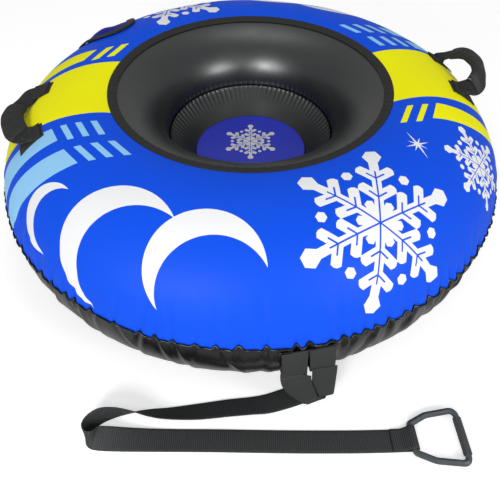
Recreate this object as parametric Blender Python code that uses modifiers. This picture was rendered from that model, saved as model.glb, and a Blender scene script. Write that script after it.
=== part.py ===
"""A snow tube: an inflated ring with a welded seat membrane in a two-part sewn cover.

Two padded grab handles, a valve under a half-moon flap, and a tow strap whose
end carries a triangular pull handle. Metres, degrees, +Z up. The base rests on
the ground at the origin and the tow strap lies in front, at -Y.
"""

import math

import bmesh
import bpy
from mathutils import Matrix, Vector

# The tube's section, at its outer skin
TUBE_RADIUS = 0.510
EQUATOR_HEIGHT = 0.175
CROWN_RADIUS = 0.320
CROWN_HEIGHT = 0.350
CREASE_RADIUS = 0.173
CREASE_HEIGHT = 0.227
# The flat base's outer edge lies in from the widest line by its inset
BASE_INSET = 0.150
BASE_WIDTH = 0.060
BASE_RADIUS = TUBE_RADIUS - BASE_INSET
INNER_BASE_RADIUS = BASE_RADIUS - BASE_WIDTH

# Layers and the clearance between neighbours
COVER_THICKNESS = 0.0012
BLADDER_THICKNESS = 0.0010
LAYER_GAP = 0.0005
JOINT_GAP = 0.0005
FIT_GAP = 0.0003
BLADDER_DEPTH = COVER_THICKNESS + LAYER_GAP

# Facets
SEGMENTS = 48
QUARTER_STEPS = 6
BOWL_STEPS = 5
COARSE_STEPS = 3
STRIP_COLUMNS = 4
SMOOTH_ANGLE = 40.0
JOIN_DISTANCE = 0.00002

# The cover's seam and the bound rim of its opening, as angles round the section
SEAM_ANGLE = 5.0
RIM_ANGLE = 105.0
RIM_BINDING_SPAN = 7.0
RIM_BINDING_THICKNESS = 0.0012
RIM_LIP_SPAN = 0.8
ELASTIC_THICKNESS = 0.0010
SEAM_BINDING_SPAN = 2.6
SEAM_BINDING_THICKNESS = 0.0022

# Seat membrane, with radial puckers at its weld, and the disc on its middle
MEMBRANE_THICKNESS = 0.0012
DISC_RADIUS = 0.121
DISC_HEIGHT = 0.173
DISC_THICKNESS = 0.0020
DISC_SEGMENTS = 72
PUCKERS = 72
PUCKER_DEPTH = 0.0028
PUCKER_LENGTH = 0.0260

# Grab handles
HANDLE_TURNS = {"right": 10.5, "left": 190.5}
NEAR_END = {"right": 1, "left": -1}
HANDLE_ANGLE = 55.0
HANDLE_SPAN = 0.142
HANDLE_REACH = 0.065
HANDLE_DROOP = 3.0
HANDLE_POWER = 2.3
HANDLE_STEPS = 18
HANDLE_TWIST = 48.0
HANDLE_TWIST_SHARE = 0.22
HANDLE_WEBBING_WIDTH = 0.042
WEBBING_THICKNESS = 0.0024
PATCH_LENGTH_ANGLE = 19.0
PATCH_CLEARANCE = 0.0028
PATCH_COLUMNS = 3
PATCH_ROWS = 4
SLEEVE_WIDTH = 0.048
SLEEVE_HEIGHT = 0.018
SLEEVE_THICKNESS = 0.0012
SLEEVE_START_SHARE = 0.26
SLEEVE_SHIFT_SHARE = 0.04
SLEEVE_SIDES = 16
SLEEVE_ROUNDNESS_SHARE = 0.75

# Valve and the flap over it
VALVE_TURN = 146.25
VALVE_ANGLE = 62.0
VALVE_SEGMENTS = 24
NECK_RADIUS = 0.0140
NECK_BORE_RADIUS = 0.0105
NECK_HEIGHT = 0.0035
FLANGE_RADIUS = 0.0260
FLANGE_THICKNESS = 0.0020
FLANGE_DEPTH = 0.0070
INSERT_HEIGHT = 0.0040
INSERT_RIM = 0.0018
INSERT_SPOKE = 0.0020
PORT_STEPS = 4
DIAPHRAGM_THICKNESS = 0.0008
CAP_RADIUS = 0.0175
CAP_WALL = 0.0020
CAP_SKIRT_START = 0.0010
CAP_BAR_WIDTH = 0.0045
CAP_BAR_LENGTH = 0.0270
CAP_BAR_HEIGHT = 0.0016
COVER_HOLE_RADIUS = 0.0210
FLAP_WIDTH = 0.165
FLAP_HEIGHT = 0.088
FLAP_BELOW_VALVE = 0.039
FLAP_BULGE = 0.0138
FLAP_CLEARANCE = 0.0010
FLAP_THICKNESS = 0.0012
FLAP_RINGS = 5
FLAP_SPOKES = 14
FLAP_SEWN_SHARE = 0.25
FLAP_BINDING_WIDTH = 0.0080
FLAP_BINDING_THICKNESS = 0.0026

# Tow loop, sewn under the seam, and the hitch that hangs from it
TOW_TURN = -80.0
LOOP_WEBBING_WIDTH = 0.042
LOOP_SLIT = 0.0030
LOOP_HANG = 0.066
LOOP_CURL_HEIGHT = 0.0144
LOOP_COVER_CLEARANCE = 0.0040
LOOP_CURL_STEPS = 6
TOW_TAB_HEIGHT = 0.0060
HITCH_THICKNESS = 0.0050
HITCH_WIDTH = 0.096
# Outline of the hitched webbing, as shares of its width and its height above the ground
HITCH_OUTLINE_SHARES = [
    (-0.46, 0.90), (0.00, 1.00), (0.30, 0.26), (0.06, 1.00), (0.52, 1.00), (0.55, 0.28),
    (0.43, 0.18), (0.32, 0.02), (0.16, 0.00), (0.09, 0.09), (-0.34, 0.62),
]

# Tow strap: the edge that stays on the ground, with the strap's lean from the
# ground in degrees. Its other edge is on the left of the way it runs.
STRAP_WIDTH = 0.038
STRAP_THICKNESS = 0.0020
STRAP_STEPS = 3
STRAP_ROUTE = [
    (0.1120, -0.4560, 0.0), (0.0830, -0.4640, 0.0), (0.0560, -0.4735, 2.0), (0.0250, -0.4840, 8.0),
    (-0.0020, -0.4890, 15.0), (-0.0420, -0.4935, 17.0), (-0.0910, -0.5010, 22.0),
    (-0.1400, -0.5080, 35.0), (-0.1720, -0.5110, 47.0), (-0.1960, -0.5150, 62.0),
    (-0.2270, -0.5240, 86.0), (-0.2520, -0.5360, 104.0), (-0.2680, -0.5520, 104.0),
    (-0.2730, -0.5650, 84.0), (-0.2680, -0.5755, 58.0), (-0.2540, -0.5805, 36.0),
    (-0.2250, -0.5822, 16.0), (-0.1850, -0.5828, 5.0), (-0.1330, -0.5830, 0.0),
    (-0.0600, -0.5835, 0.0), (0.0000, -0.5845, 0.0), (0.0800, -0.5855, 0.0),
    (0.1600, -0.5855, 0.0), (0.2050, -0.5848, 0.0), (0.2360, -0.5840, 0.0),
]

# Pull handle at the strap's end
PULL_TURN = 2.5
ROD_RADIUS = 0.0055
ROD_SIDES_RESOLUTION = 2
PULL_BAR_WIDTH = 0.047
PULL_SHOULDER_WIDTH = 0.075
PULL_SHOULDER_REACH = 0.030
PULL_GRIP_WIDTH = 0.089
PULL_LENGTH = 0.0830
PULL_BAR_CORNER = 0.0050
PULL_SHOULDER_CORNER = 0.030
PULL_GRIP_CORNER = 0.0100
CORNER_STEPS = 5
GRIP_RADIUS = 0.0072
GRIP_LENGTH = 0.060
GRIP_SIDES = 12
WRAP_LENGTH = 0.0325
WRAP_STEPS = 14
WRAP_TURN = 225.0

CUT_OVERRUN = 0.010


def clear_scene():
    """Removes whatever the file opened with."""
    for thing in list(bpy.data.objects):
        bpy.data.objects.remove(thing, do_unlink=True)


def new_collection(name):
    """A collection linked to the scene."""
    collection = bpy.data.collections.new(name)
    bpy.context.scene.collection.children.link(collection)
    return collection


def new_material(name, color, roughness, metallic=0.0):
    """A plain Principled material."""
    material = bpy.data.materials.new(name)
    material.use_nodes = True
    shader = material.node_tree.nodes["Principled BSDF"]
    shader.inputs["Base Color"].default_value = (*color, 1.0)
    shader.inputs["Roughness"].default_value = roughness
    shader.inputs["Metallic"].default_value = metallic
    return material


clear_scene()
PARTS = new_collection("snow_tube")
CUTTERS = new_collection("cutters")
PRINTED_COVER = new_material("printed_cover", (0.005, 0.085, 0.80), 0.42)
SLICK_COVER = new_material("slick_cover", (0.012, 0.012, 0.012), 0.18)
BINDING_TAPE = new_material("binding_tape", (0.018, 0.018, 0.018), 0.75)
BLADDER_VINYL = new_material("bladder_vinyl", (0.016, 0.017, 0.018), 0.38)
DISC_PRINT = new_material("disc_print", (0.02, 0.10, 0.62), 0.35)
WEBBING = new_material("webbing", (0.022, 0.023, 0.025), 0.80)
SLEEVE_FABRIC = new_material("sleeve_fabric", (0.020, 0.021, 0.023), 0.65)
FOAM = new_material("foam", (0.30, 0.30, 0.30), 0.90)
VALVE_PLASTIC = new_material("valve_plastic", (0.03, 0.03, 0.03), 0.40)
VALVE_RUBBER = new_material("valve_rubber", (0.10, 0.10, 0.10), 0.60)
ROD_PLASTIC = new_material("rod_plastic", (0.035, 0.042, 0.050), 0.30)
GRIP_RUBBER = new_material("grip_rubber", (0.030, 0.032, 0.036), 0.70)


def add_object(name, data, material, collection=None):
    """Links new object data with its material."""
    thing = bpy.data.objects.new(name, data)
    (collection or PARTS).objects.link(thing)
    if material:
        data.materials.append(material)
    return thing


def mesh_object(name, vertices, faces, material, edges=(), facing=None):
    """A smooth-shaded mesh object, its faces outwards or, on an open surface, the way it faces."""
    mesh = bpy.data.meshes.new(name)
    mesh.from_pydata([tuple(vertex) for vertex in vertices], list(edges), faces)
    if faces:
        work = bmesh.new()
        work.from_mesh(mesh)
        bmesh.ops.recalc_face_normals(work, faces=work.faces)
        if facing and sum(face.normal.dot(facing) for face in work.faces) < 0.0:
            bmesh.ops.reverse_faces(work, faces=work.faces)
        work.to_mesh(mesh)
        work.free()
        mesh.shade_smooth()
        mesh.set_sharp_from_angle(angle=math.radians(SMOOTH_ANGLE))
    return add_object(name, mesh, material)


def section_point(angle, depth=0.0):
    """Radius and height on the tube's section, set in from the outer skin.

    0 degrees is the widest point, 90 the crown, 180 the crease in the seat,
    -90 the edge of the flat base, and beyond that the hidden inner wall.
    """
    if angle > 90.0:
        centre = (CROWN_RADIUS, CREASE_HEIGHT)
        reach = (CROWN_RADIUS - CREASE_RADIUS, CROWN_HEIGHT - CREASE_HEIGHT)
    elif angle >= 0.0:
        centre = (CROWN_RADIUS, EQUATOR_HEIGHT)
        reach = (TUBE_RADIUS - CROWN_RADIUS, CROWN_HEIGHT - EQUATOR_HEIGHT)
    elif angle >= -90.0:
        centre = (BASE_RADIUS, EQUATOR_HEIGHT)
        reach = (TUBE_RADIUS - BASE_RADIUS, EQUATOR_HEIGHT)
    else:
        centre = (INNER_BASE_RADIUS, CREASE_HEIGHT)
        reach = (INNER_BASE_RADIUS - CREASE_RADIUS, CREASE_HEIGHT)
    across = math.cos(math.radians(angle))
    upward = math.sin(math.radians(angle))
    normal = Vector((across / reach[0], upward / reach[1])).normalized()
    point = Vector((centre[0] + reach[0] * across, centre[1] + reach[1] * upward))
    return point - normal * depth


def cover_point(turn, angle, height=0.0):
    """A point over the cover at an azimuth and a section angle, lifted off its skin."""
    radius, up = section_point(angle, -height)
    return Vector((radius * math.cos(math.radians(turn)), radius * math.sin(math.radians(turn)), up))


def cover_frame(turn, angle, height=0.0):
    """Axes on the cover: X along the ring, Y uphill to the crown, Z straight out."""
    origin = cover_point(turn, angle, height)
    outward = (cover_point(turn, angle, LAYER_GAP) - cover_point(turn, angle)).normalized()
    along = Vector((-math.sin(math.radians(turn)), math.cos(math.radians(turn)), 0.0))
    uphill = outward.cross(along)
    frame = Matrix((along, uphill, outward)).transposed().to_4x4()
    frame.translation = origin
    return frame


def angle_steps(start, finish, steps):
    """Evenly spaced angles from start to finish, both included."""
    return [start + (finish - start) * step / steps for step in range(steps + 1)]


def turned(name, profile, material, closed=False, thickness=0.0, segments=SEGMENTS):
    """A profile of radius and height turned round Z, a shell where it has a thickness."""
    vertices = [(radius, 0.0, height) for radius, height in profile]
    edges = [(index, index + 1) for index in range(len(profile) - 1)]
    if closed:
        edges.append((len(profile) - 1, 0))
    thing = mesh_object(name, vertices, [], material, edges)
    screw = thing.modifiers.new("Turn", "SCREW")
    screw.axis = "Z"
    screw.steps = segments
    screw.render_steps = segments
    screw.use_smooth_shade = True
    screw.use_merge_vertices = True
    screw.merge_threshold = JOIN_DISTANCE
    weld = thing.modifiers.new("Join axis", "WELD")
    weld.merge_threshold = JOIN_DISTANCE
    if thickness:
        solid = thing.modifiers.new("Wall", "SOLIDIFY")
        solid.thickness = thickness
        solid.offset = -1.0
        solid.use_even_offset = True
    return thing


def cut(thing, cutter):
    """Cuts one object out of another and leaves the cutter as a guide."""
    cutter.hide_render = True
    cutter.display_type = "WIRE"
    modifier = thing.modifiers.new("Cut " + cutter.name, "BOOLEAN")
    modifier.operation = "DIFFERENCE"
    modifier.solver = "EXACT"
    modifier.object = cutter


def join_shape(thing, other):
    """Joins a second closed shape into an object."""
    other.hide_render = True
    other.display_type = "WIRE"
    modifier = thing.modifiers.new("Join " + other.name, "BOOLEAN")
    modifier.operation = "UNION"
    modifier.solver = "EXACT"
    modifier.object = other


def cylinder_cutter(name, radius, low, high, frame):
    """A cylinder along a frame's Z, kept with the cutters."""
    mesh = bpy.data.meshes.new(name)
    work = bmesh.new()
    bmesh.ops.create_cone(work, cap_ends=True, segments=VALVE_SEGMENTS, radius1=radius, radius2=radius,
                          depth=high - low, matrix=Matrix.Translation((0.0, 0.0, (low + high) / 2)))
    work.to_mesh(mesh)
    work.free()
    cutter = add_object(name, mesh, None, CUTTERS)
    cutter.matrix_world = frame
    return cutter


def box_cutter(name, low, high, frame):
    """A box between two corners in a frame, kept with the cutters."""
    low, high = Vector(low), Vector(high)
    mesh = bpy.data.meshes.new(name)
    work = bmesh.new()
    size = Matrix.Diagonal((*(high - low), 1.0))
    bmesh.ops.create_cube(work, size=1.0, matrix=Matrix.Translation((low + high) / 2) @ size)
    work.to_mesh(mesh)
    work.free()
    cutter = add_object(name, mesh, None, CUTTERS)
    cutter.matrix_world = frame
    return cutter


def joint_empty(name, frame):
    """An empty on a joint's axis, which carries the pieces that move with it."""
    empty = bpy.data.objects.new(name, None)
    PARTS.objects.link(empty)
    empty.matrix_world = frame
    bpy.context.view_layer.update()
    return empty


def carry(thing, empty, in_world=True):
    """Parents an object to an empty, keeping world points where they are."""
    if in_world:
        thing.data.transform(empty.matrix_world.inverted())
    thing.parent = empty
    return thing


def grid_faces(rows, columns, first=0):
    """Quads of a grid whose points run along its columns."""
    faces = []
    for row in range(rows - 1):
        for column in range(columns - 1):
            corner = first + row * columns + column
            faces.append((corner, corner + 1, corner + columns + 1, corner + columns))
    return faces


def sheet(name, top, bottom, rows, columns, material):
    """A closed sheet between two grids of points."""
    count = rows * columns
    faces = grid_faces(rows, columns) + grid_faces(rows, columns, count)
    border = [column for column in range(columns)]
    border += [row * columns + columns - 1 for row in range(1, rows)]
    border += [(rows - 1) * columns + column for column in range(columns - 2, -1, -1)]
    border += [row * columns for row in range(rows - 2, 0, -1)]
    for index, here in enumerate(border):
        beyond = border[(index + 1) % len(border)]
        faces.append((here, beyond, count + beyond, count + here))
    return mesh_object(name, top + bottom, faces, material)


def draped(name, turns, angles, lift, thickness, material):
    """A flat piece laid on the cover between azimuths and section angles."""
    top = [cover_point(turn, angle, lift + thickness) for angle in angles for turn in turns]
    bottom = [cover_point(turn, angle, lift) for angle in angles for turn in turns]
    return sheet(name, top, bottom, len(angles), len(turns), material)


def sweep(name, centres, widths, outline, material, bore=None):
    """An outline carried along centres, its first axis along the width directions.

    With a bore outline of as many points it is an open-ended tube.
    """
    vertices = []
    count = len(outline)
    for index, centre in enumerate(centres):
        before = centres[max(index - 1, 0)]
        beyond = centres[min(index + 1, len(centres) - 1)]
        width = widths[index].normalized()
        rise = (beyond - before).cross(width).normalized()
        for across, up in outline + (bore or []):
            vertices.append(centre + width * across + rise * up)
    ring = count * 2 if bore else count
    faces = []
    for index in range(len(centres) - 1):
        for start in range(0, ring, count):
            for corner in range(count):
                here = index * ring + start + corner
                beside = index * ring + start + (corner + 1) % count
                faces.append((here, beside, beside + ring, here + ring))
    for start in (0, (len(centres) - 1) * ring):
        if bore:
            for corner in range(count):
                beside = (corner + 1) % count
                faces.append((start + corner, start + beside, start + count + beside, start + count + corner))
        else:
            faces.append(tuple(range(start, start + count)))
    return mesh_object(name, vertices, faces, material)


def strip(width, thickness):
    """A flat strap's outline, with points across it so that it can twist."""
    across = [width / 2 - width * column / STRIP_COLUMNS for column in range(STRIP_COLUMNS + 1)]
    upper = [(place, thickness / 2) for place in across]
    lower = [(place, -thickness / 2) for place in reversed(across)]
    return upper + lower


def oval(width, height, count):
    """A rounded flat outline of count points, centred."""
    turns = [2 * math.pi * index / count for index in range(count)]
    power = SLEEVE_ROUNDNESS_SHARE
    return [(width / 2 * math.copysign(abs(math.cos(turn)) ** power, math.cos(turn)),
             height / 2 * math.copysign(abs(math.sin(turn)) ** power, math.sin(turn))) for turn in turns]


def square_ring(width, height, count):
    """A rectangle drawn with count points, one at each corner when count is a multiple of 8."""
    points = []
    for index in range(count):
        turn = 2 * math.pi * index / count
        reach = max(abs(math.cos(turn)), abs(math.sin(turn)))
        points.append((width / 2 * math.cos(turn) / reach, height / 2 * math.sin(turn) / reach))
    return points


def extruded(name, outlines, depth, frame, material):
    """Flat closed outlines, the first with the others as its holes, extruded both ways along Z."""
    curve = bpy.data.curves.new(name, "CURVE")
    curve.dimensions = "2D"
    curve.fill_mode = "BOTH"
    curve.extrude = depth / 2
    for outline in outlines:
        spline = curve.splines.new("POLY")
        spline.points.add(len(outline) - 1)
        for point, (across, up) in zip(spline.points, outline):
            point.co = (across, up, 0.0, 1.0)
        spline.use_cyclic_u = True
    thing = add_object(name, curve, material)
    thing.matrix_world = frame
    return thing


def circle(radius, count, centre=(0.0, 0.0)):
    """Points round a circle."""
    turns = [2 * math.pi * index / count for index in range(count)]
    return [(centre[0] + radius * math.cos(turn), centre[1] + radius * math.sin(turn)) for turn in turns]


def smooth_route(points, steps):
    """Points on a smooth curve through a route's own points."""
    ends = [points[0]] + points + [points[-1]]
    route = []
    for index in range(len(points) - 1):
        before, start, finish, after = (Vector(ends[index + offset]) for offset in range(4))
        for step in range(steps):
            share = step / steps
            bend = (2 * before - 5 * start + 4 * finish - after) * share ** 2
            twist = (3 * start - before - 3 * finish + after) * share ** 3
            route.append((2 * start + (finish - before) * share + bend + twist) / 2)
    route.append(Vector(points[-1]))
    return route


def build_covers():
    """The printed upper cover and the slick lower one, with the bindings on their edges."""
    quarter_angles = angle_steps(90.0, 0.0, QUARTER_STEPS)
    upper_angles = [RIM_ANGLE] + quarter_angles[:-1] + [SEAM_ANGLE]
    top = turned("top_cover", [section_point(angle) for angle in upper_angles],
                 PRINTED_COVER, thickness=COVER_THICKNESS)
    lower = [section_point(angle) for angle in [SEAM_ANGLE] + angle_steps(0.0, -90.0, QUARTER_STEPS)]
    lower[0] = lower[0] - Vector((0.0, JOINT_GAP))
    turned("bottom_cover", lower + [(0.0, 0.0)], SLICK_COVER, thickness=COVER_THICKNESS)
    hole = cylinder_cutter("cover_hole", COVER_HOLE_RADIUS, -CUT_OVERRUN, CUT_OVERRUN,
                           cover_frame(VALVE_TURN, VALVE_ANGLE))
    cut(top, hole)

    # A channel of tape round the rim, open towards the bladder, holds the elastic
    outer = RIM_ANGLE + math.degrees(JOINT_GAP / (CROWN_RADIUS - CREASE_RADIUS))
    inner = outer + RIM_BINDING_SPAN
    channel = [(inner, -RIM_BINDING_THICKNESS), (outer, -RIM_BINDING_THICKNESS), (outer, COVER_THICKNESS),
               (outer + RIM_LIP_SPAN, COVER_THICKNESS), (outer + RIM_LIP_SPAN, 0.0),
               (inner - RIM_LIP_SPAN, 0.0), (inner - RIM_LIP_SPAN, COVER_THICKNESS), (inner, COVER_THICKNESS)]
    turned("rim_binding", [section_point(*place) for place in channel], BINDING_TAPE, closed=True)
    start = outer + 2 * RIM_LIP_SPAN
    finish = inner - 2 * RIM_LIP_SPAN
    band = [(finish, FIT_GAP), (start, FIT_GAP), (start, FIT_GAP + ELASTIC_THICKNESS),
            (finish, FIT_GAP + ELASTIC_THICKNESS)]
    turned("rim_elastic", [section_point(*place) for place in band], VALVE_RUBBER, closed=True)

    proud = LAYER_GAP + SEAM_BINDING_THICKNESS
    low = SEAM_ANGLE - SEAM_BINDING_SPAN
    tape = [(SEAM_ANGLE, -proud), (low, -proud), (low, -LAYER_GAP), (SEAM_ANGLE, -LAYER_GAP)]
    turned("seam_binding", [section_point(*place) for place in tape], BINDING_TAPE, closed=True)


def build_bladder():
    """The upper and lower halves of the inflated ring, welded at the widest line and the crease."""
    angles = angle_steps(180.0, 90.0, BOWL_STEPS) + angle_steps(90.0, 0.0, QUARTER_STEPS)[1:]
    upper = turned("bladder_upper", [section_point(angle, BLADDER_DEPTH) for angle in angles],
                   BLADDER_VINYL, thickness=BLADDER_THICKNESS)
    hole = cylinder_cutter("bladder_hole", NECK_RADIUS + JOINT_GAP, -CUT_OVERRUN, CUT_OVERRUN,
                           cover_frame(VALVE_TURN, VALVE_ANGLE))
    cut(upper, hole)

    outside = [section_point(angle, BLADDER_DEPTH) for angle in angle_steps(0.0, -90.0, COARSE_STEPS)]
    inside = [section_point(angle, BLADDER_DEPTH) for angle in angle_steps(-90.0, -180.0, COARSE_STEPS)[1:]]
    outside[0] = outside[0] - Vector((0.0, JOINT_GAP))
    inside[-1] = inside[-1] - Vector((0.0, JOINT_GAP))
    turned("bladder_lower", outside + [(INNER_BASE_RADIUS, BLADDER_DEPTH)] + inside,
           BLADDER_VINYL, thickness=BLADDER_THICKNESS)


def build_seat():
    """The puckered membrane across the ring's hole, and the disc on its middle."""
    weld_radius = section_point(180.0, BLADDER_DEPTH)[0] * math.cos(math.pi / SEGMENTS)
    edge_radius = weld_radius - MEMBRANE_THICKNESS - JOINT_GAP
    floor_height = DISC_HEIGHT - DISC_THICKNESS - FIT_GAP
    slope = (CREASE_HEIGHT - floor_height) / (edge_radius - DISC_RADIUS)
    around = PUCKERS * 2
    vertices = []
    rings = [(edge_radius, PUCKER_DEPTH), (edge_radius - PUCKER_LENGTH, 0.0), (DISC_RADIUS, 0.0)]
    for radius, depth in rings:
        for step in range(around):
            turn = 2 * math.pi * step / around
            height = floor_height + (radius - DISC_RADIUS) * slope - depth * (step % 2)
            vertices.append((radius * math.cos(turn), radius * math.sin(turn), height))
    faces = []
    for ring in (0, around):
        for step in range(around):
            beside = (step + 1) % around
            faces.append((ring + step, ring + beside, ring + around + beside, ring + around + step))
    faces.append(tuple(range(2 * around, 3 * around)))
    floor = mesh_object("seat_membrane", vertices, faces, BLADDER_VINYL, facing=Vector((0.0, 0.0, 1.0)))
    wall = floor.modifiers.new("Wall", "SOLIDIFY")
    wall.thickness = MEMBRANE_THICKNESS
    wall.offset = -1.0
    disc_edge = DISC_RADIUS - JOINT_GAP
    underside = DISC_HEIGHT - DISC_THICKNESS
    disc = [(0.0, DISC_HEIGHT), (disc_edge, DISC_HEIGHT), (disc_edge, underside), (0.0, underside)]
    turned("seat_disc", disc, DISC_PRINT, segments=DISC_SEGMENTS)


def handle_path():
    """Centres and width directions of a handle's webbing: X along its hinge, Y outwards."""
    centres = []
    widths = []
    for step in range(HANDLE_STEPS + 1):
        turn = math.pi * step / HANDLE_STEPS
        across = math.copysign(abs(math.cos(turn)) ** (2 / HANDLE_POWER), math.cos(turn))
        outward = math.sin(turn) ** (2 / HANDLE_POWER) if 0 < step < HANDLE_STEPS else 0.0
        centres.append(Vector((across * HANDLE_SPAN / 2, outward * HANDLE_REACH, 0.0)))
    for step in range(HANDLE_STEPS + 1):
        along = centres[min(step + 1, HANDLE_STEPS)] - centres[max(step - 1, 0)]
        flat = Vector((along.y, -along.x, 0.0)).normalized()
        if step in (0, HANDLE_STEPS):
            flat = Vector((math.copysign(1.0, flat.x), 0.0, 0.0))
        turned_share = min(1.0, min(step, HANDLE_STEPS - step) / (HANDLE_STEPS * HANDLE_TWIST_SHARE))
        lean = math.radians(HANDLE_TWIST) * turned_share
        widths.append(flat * math.cos(lean) + Vector((0.0, 0.0, -math.sin(lean))))
    return centres, widths


def build_handle(side):
    """One grab handle: webbing on a hinge line over its two sewn patches, foam and a sleeve."""
    turn = HANDLE_TURNS[side]
    hinge_height = FIT_GAP + WEBBING_THICKNESS + PATCH_CLEARANCE + WEBBING_THICKNESS / 2
    end_radius, hinge_up = section_point(HANDLE_ANGLE, -hinge_height)
    half_turn = math.degrees(math.asin(HANDLE_SPAN / 2 / end_radius))
    radial = Vector((math.cos(math.radians(turn)), math.sin(math.radians(turn)), 0.0))
    along = Vector((radial.y, -radial.x, 0.0))
    droop = math.radians(HANDLE_DROOP)
    outward = radial * math.cos(droop) - Vector((0.0, 0.0, math.sin(droop)))
    frame = Matrix((along, outward, along.cross(outward))).transposed().to_4x4()
    frame.translation = radial * end_radius * math.cos(math.radians(half_turn)) + Vector((0.0, 0.0, hinge_up))
    empty = joint_empty(side + "_handle_hinge", frame)

    centres, widths = handle_path()
    band = strip(HANDLE_WEBBING_WIDTH, WEBBING_THICKNESS)
    strap = sweep(side + "_handle_strap", centres, widths, band, WEBBING)
    carry(strap, empty, in_world=False)
    shift = SLEEVE_SHIFT_SHARE * NEAR_END[side]
    first = round(HANDLE_STEPS * (SLEEVE_START_SHARE - shift))
    last = round(HANDLE_STEPS * (1.0 - SLEEVE_START_SHARE - shift))
    inner_width = SLEEVE_WIDTH - 2 * SLEEVE_THICKNESS
    inner_height = SLEEVE_HEIGHT - 2 * SLEEVE_THICKNESS
    sleeve = sweep(side + "_handle_sleeve", centres[first:last + 1], widths[first:last + 1],
                   oval(SLEEVE_WIDTH, SLEEVE_HEIGHT, SLEEVE_SIDES), SLEEVE_FABRIC,
                   bore=oval(inner_width, inner_height, SLEEVE_SIDES))
    carry(sleeve, empty, in_world=False)
    foam = sweep(side + "_handle_foam", centres[first:last + 1], widths[first:last + 1],
                 oval(inner_width - 2 * FIT_GAP, inner_height - 2 * FIT_GAP, SLEEVE_SIDES), FOAM,
                 bore=square_ring(HANDLE_WEBBING_WIDTH + 2 * FIT_GAP, WEBBING_THICKNESS + 2 * FIT_GAP,
                                  SLEEVE_SIDES))
    carry(foam, empty, in_world=False)

    patch_half = math.degrees(HANDLE_WEBBING_WIDTH / 2 / end_radius)
    low = HANDLE_ANGLE - PATCH_LENGTH_ANGLE / 2
    angles = angle_steps(low, low + PATCH_LENGTH_ANGLE, PATCH_ROWS)
    for end, sign in (("front", -1), ("rear", 1)):
        middle = turn + sign * half_turn
        turns = angle_steps(middle - patch_half, middle + patch_half, PATCH_COLUMNS)
        draped(f"{side}_handle_{end}_patch", turns, angles, FIT_GAP, WEBBING_THICKNESS, WEBBING)


def build_valve():
    """The valve's flanged neck, its spoked insert, the diaphragm and the screw cap."""
    frame = cover_frame(VALVE_TURN, VALVE_ANGLE)
    foot = -FLANGE_DEPTH - FLANGE_THICKNESS
    neck = [(NECK_BORE_RADIUS, NECK_HEIGHT), (NECK_RADIUS, NECK_HEIGHT), (NECK_RADIUS, -FLANGE_DEPTH),
            (FLANGE_RADIUS, -FLANGE_DEPTH), (FLANGE_RADIUS, foot), (NECK_BORE_RADIUS, foot)]
    turned("valve_base", neck, VALVE_PLASTIC, closed=True, segments=VALVE_SEGMENTS).matrix_world = frame

    insert_radius = (NECK_BORE_RADIUS - FIT_GAP) * math.cos(math.pi / VALVE_SEGMENTS)
    insert_middle = -FLANGE_DEPTH + INSERT_HEIGHT / 2
    port_reach = insert_radius - INSERT_RIM
    ports = []
    for quadrant in range(4):
        start = quadrant * 90.0
        margin = math.degrees(math.asin(INSERT_SPOKE / 2 / port_reach))
        arc = [(port_reach * math.cos(math.radians(turn)), port_reach * math.sin(math.radians(turn)))
               for turn in angle_steps(start + margin, start + 90.0 - margin, PORT_STEPS)]
        diagonal = math.radians(start + 45.0)
        hub = INSERT_SPOKE / 2 * math.sqrt(2.0)
        ports.append(arc + [(hub * math.cos(diagonal), hub * math.sin(diagonal))])
    extruded("valve_insert", [circle(insert_radius, VALVE_SEGMENTS)] + ports, INSERT_HEIGHT,
             frame @ Matrix.Translation((0.0, 0.0, insert_middle)), VALVE_PLASTIC)
    under = insert_middle - INSERT_HEIGHT / 2 - FIT_GAP
    turned("valve_diaphragm", [(0.0, under), (port_reach + INSERT_RIM / 2, under),
                               (port_reach + INSERT_RIM / 2, under - DIAPHRAGM_THICKNESS),
                               (0.0, under - DIAPHRAGM_THICKNESS)],
           VALVE_RUBBER, segments=VALVE_SEGMENTS).matrix_world = frame

    empty = joint_empty("valve_cap_axis", frame)
    underside = NECK_HEIGHT + FIT_GAP
    top = underside + CAP_WALL
    skirt = NECK_RADIUS + FIT_GAP + JOINT_GAP
    cap = turned("valve_cap", [(0.0, top), (CAP_RADIUS, top), (CAP_RADIUS, CAP_SKIRT_START),
                               (skirt, CAP_SKIRT_START), (skirt, underside), (0.0, underside)],
                 VALVE_PLASTIC, segments=VALVE_SEGMENTS)
    bar = box_cutter("cap_bar", (-CAP_BAR_LENGTH / 2, -CAP_BAR_WIDTH / 2, top - CAP_WALL / 2),
                     (CAP_BAR_LENGTH / 2, CAP_BAR_WIDTH / 2, top + CAP_BAR_HEIGHT), frame)
    join_shape(cap, bar)
    carry(cap, empty, in_world=False)


def flap_angle(uphill):
    """Section angle at a share of the flap's height above its sewn edge."""
    pace = (section_point(VALVE_ANGLE + 1.0) - section_point(VALVE_ANGLE)).length
    return VALVE_ANGLE + (FLAP_HEIGHT * uphill - FLAP_BELOW_VALVE) / pace


def flap_point(across, uphill, height):
    """A point of the flap: across from -1 to 1 along its hinge, uphill from 0 to 1 to its bound edge."""
    hinge_radius = section_point(flap_angle(0.0))[0]
    turn = VALVE_TURN + math.degrees(across * FLAP_WIDTH / 2 / hinge_radius)
    return cover_point(turn, flap_angle(uphill), height)


def flap_bulge(reach, uphill):
    """How far the flap stands off the cover, from its sewn edge over its crown to its free edge."""
    return FLAP_CLEARANCE + FLAP_BULGE * (1.0 - reach ** 2) * min(1.0, uphill / FLAP_SEWN_SHARE)


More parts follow.
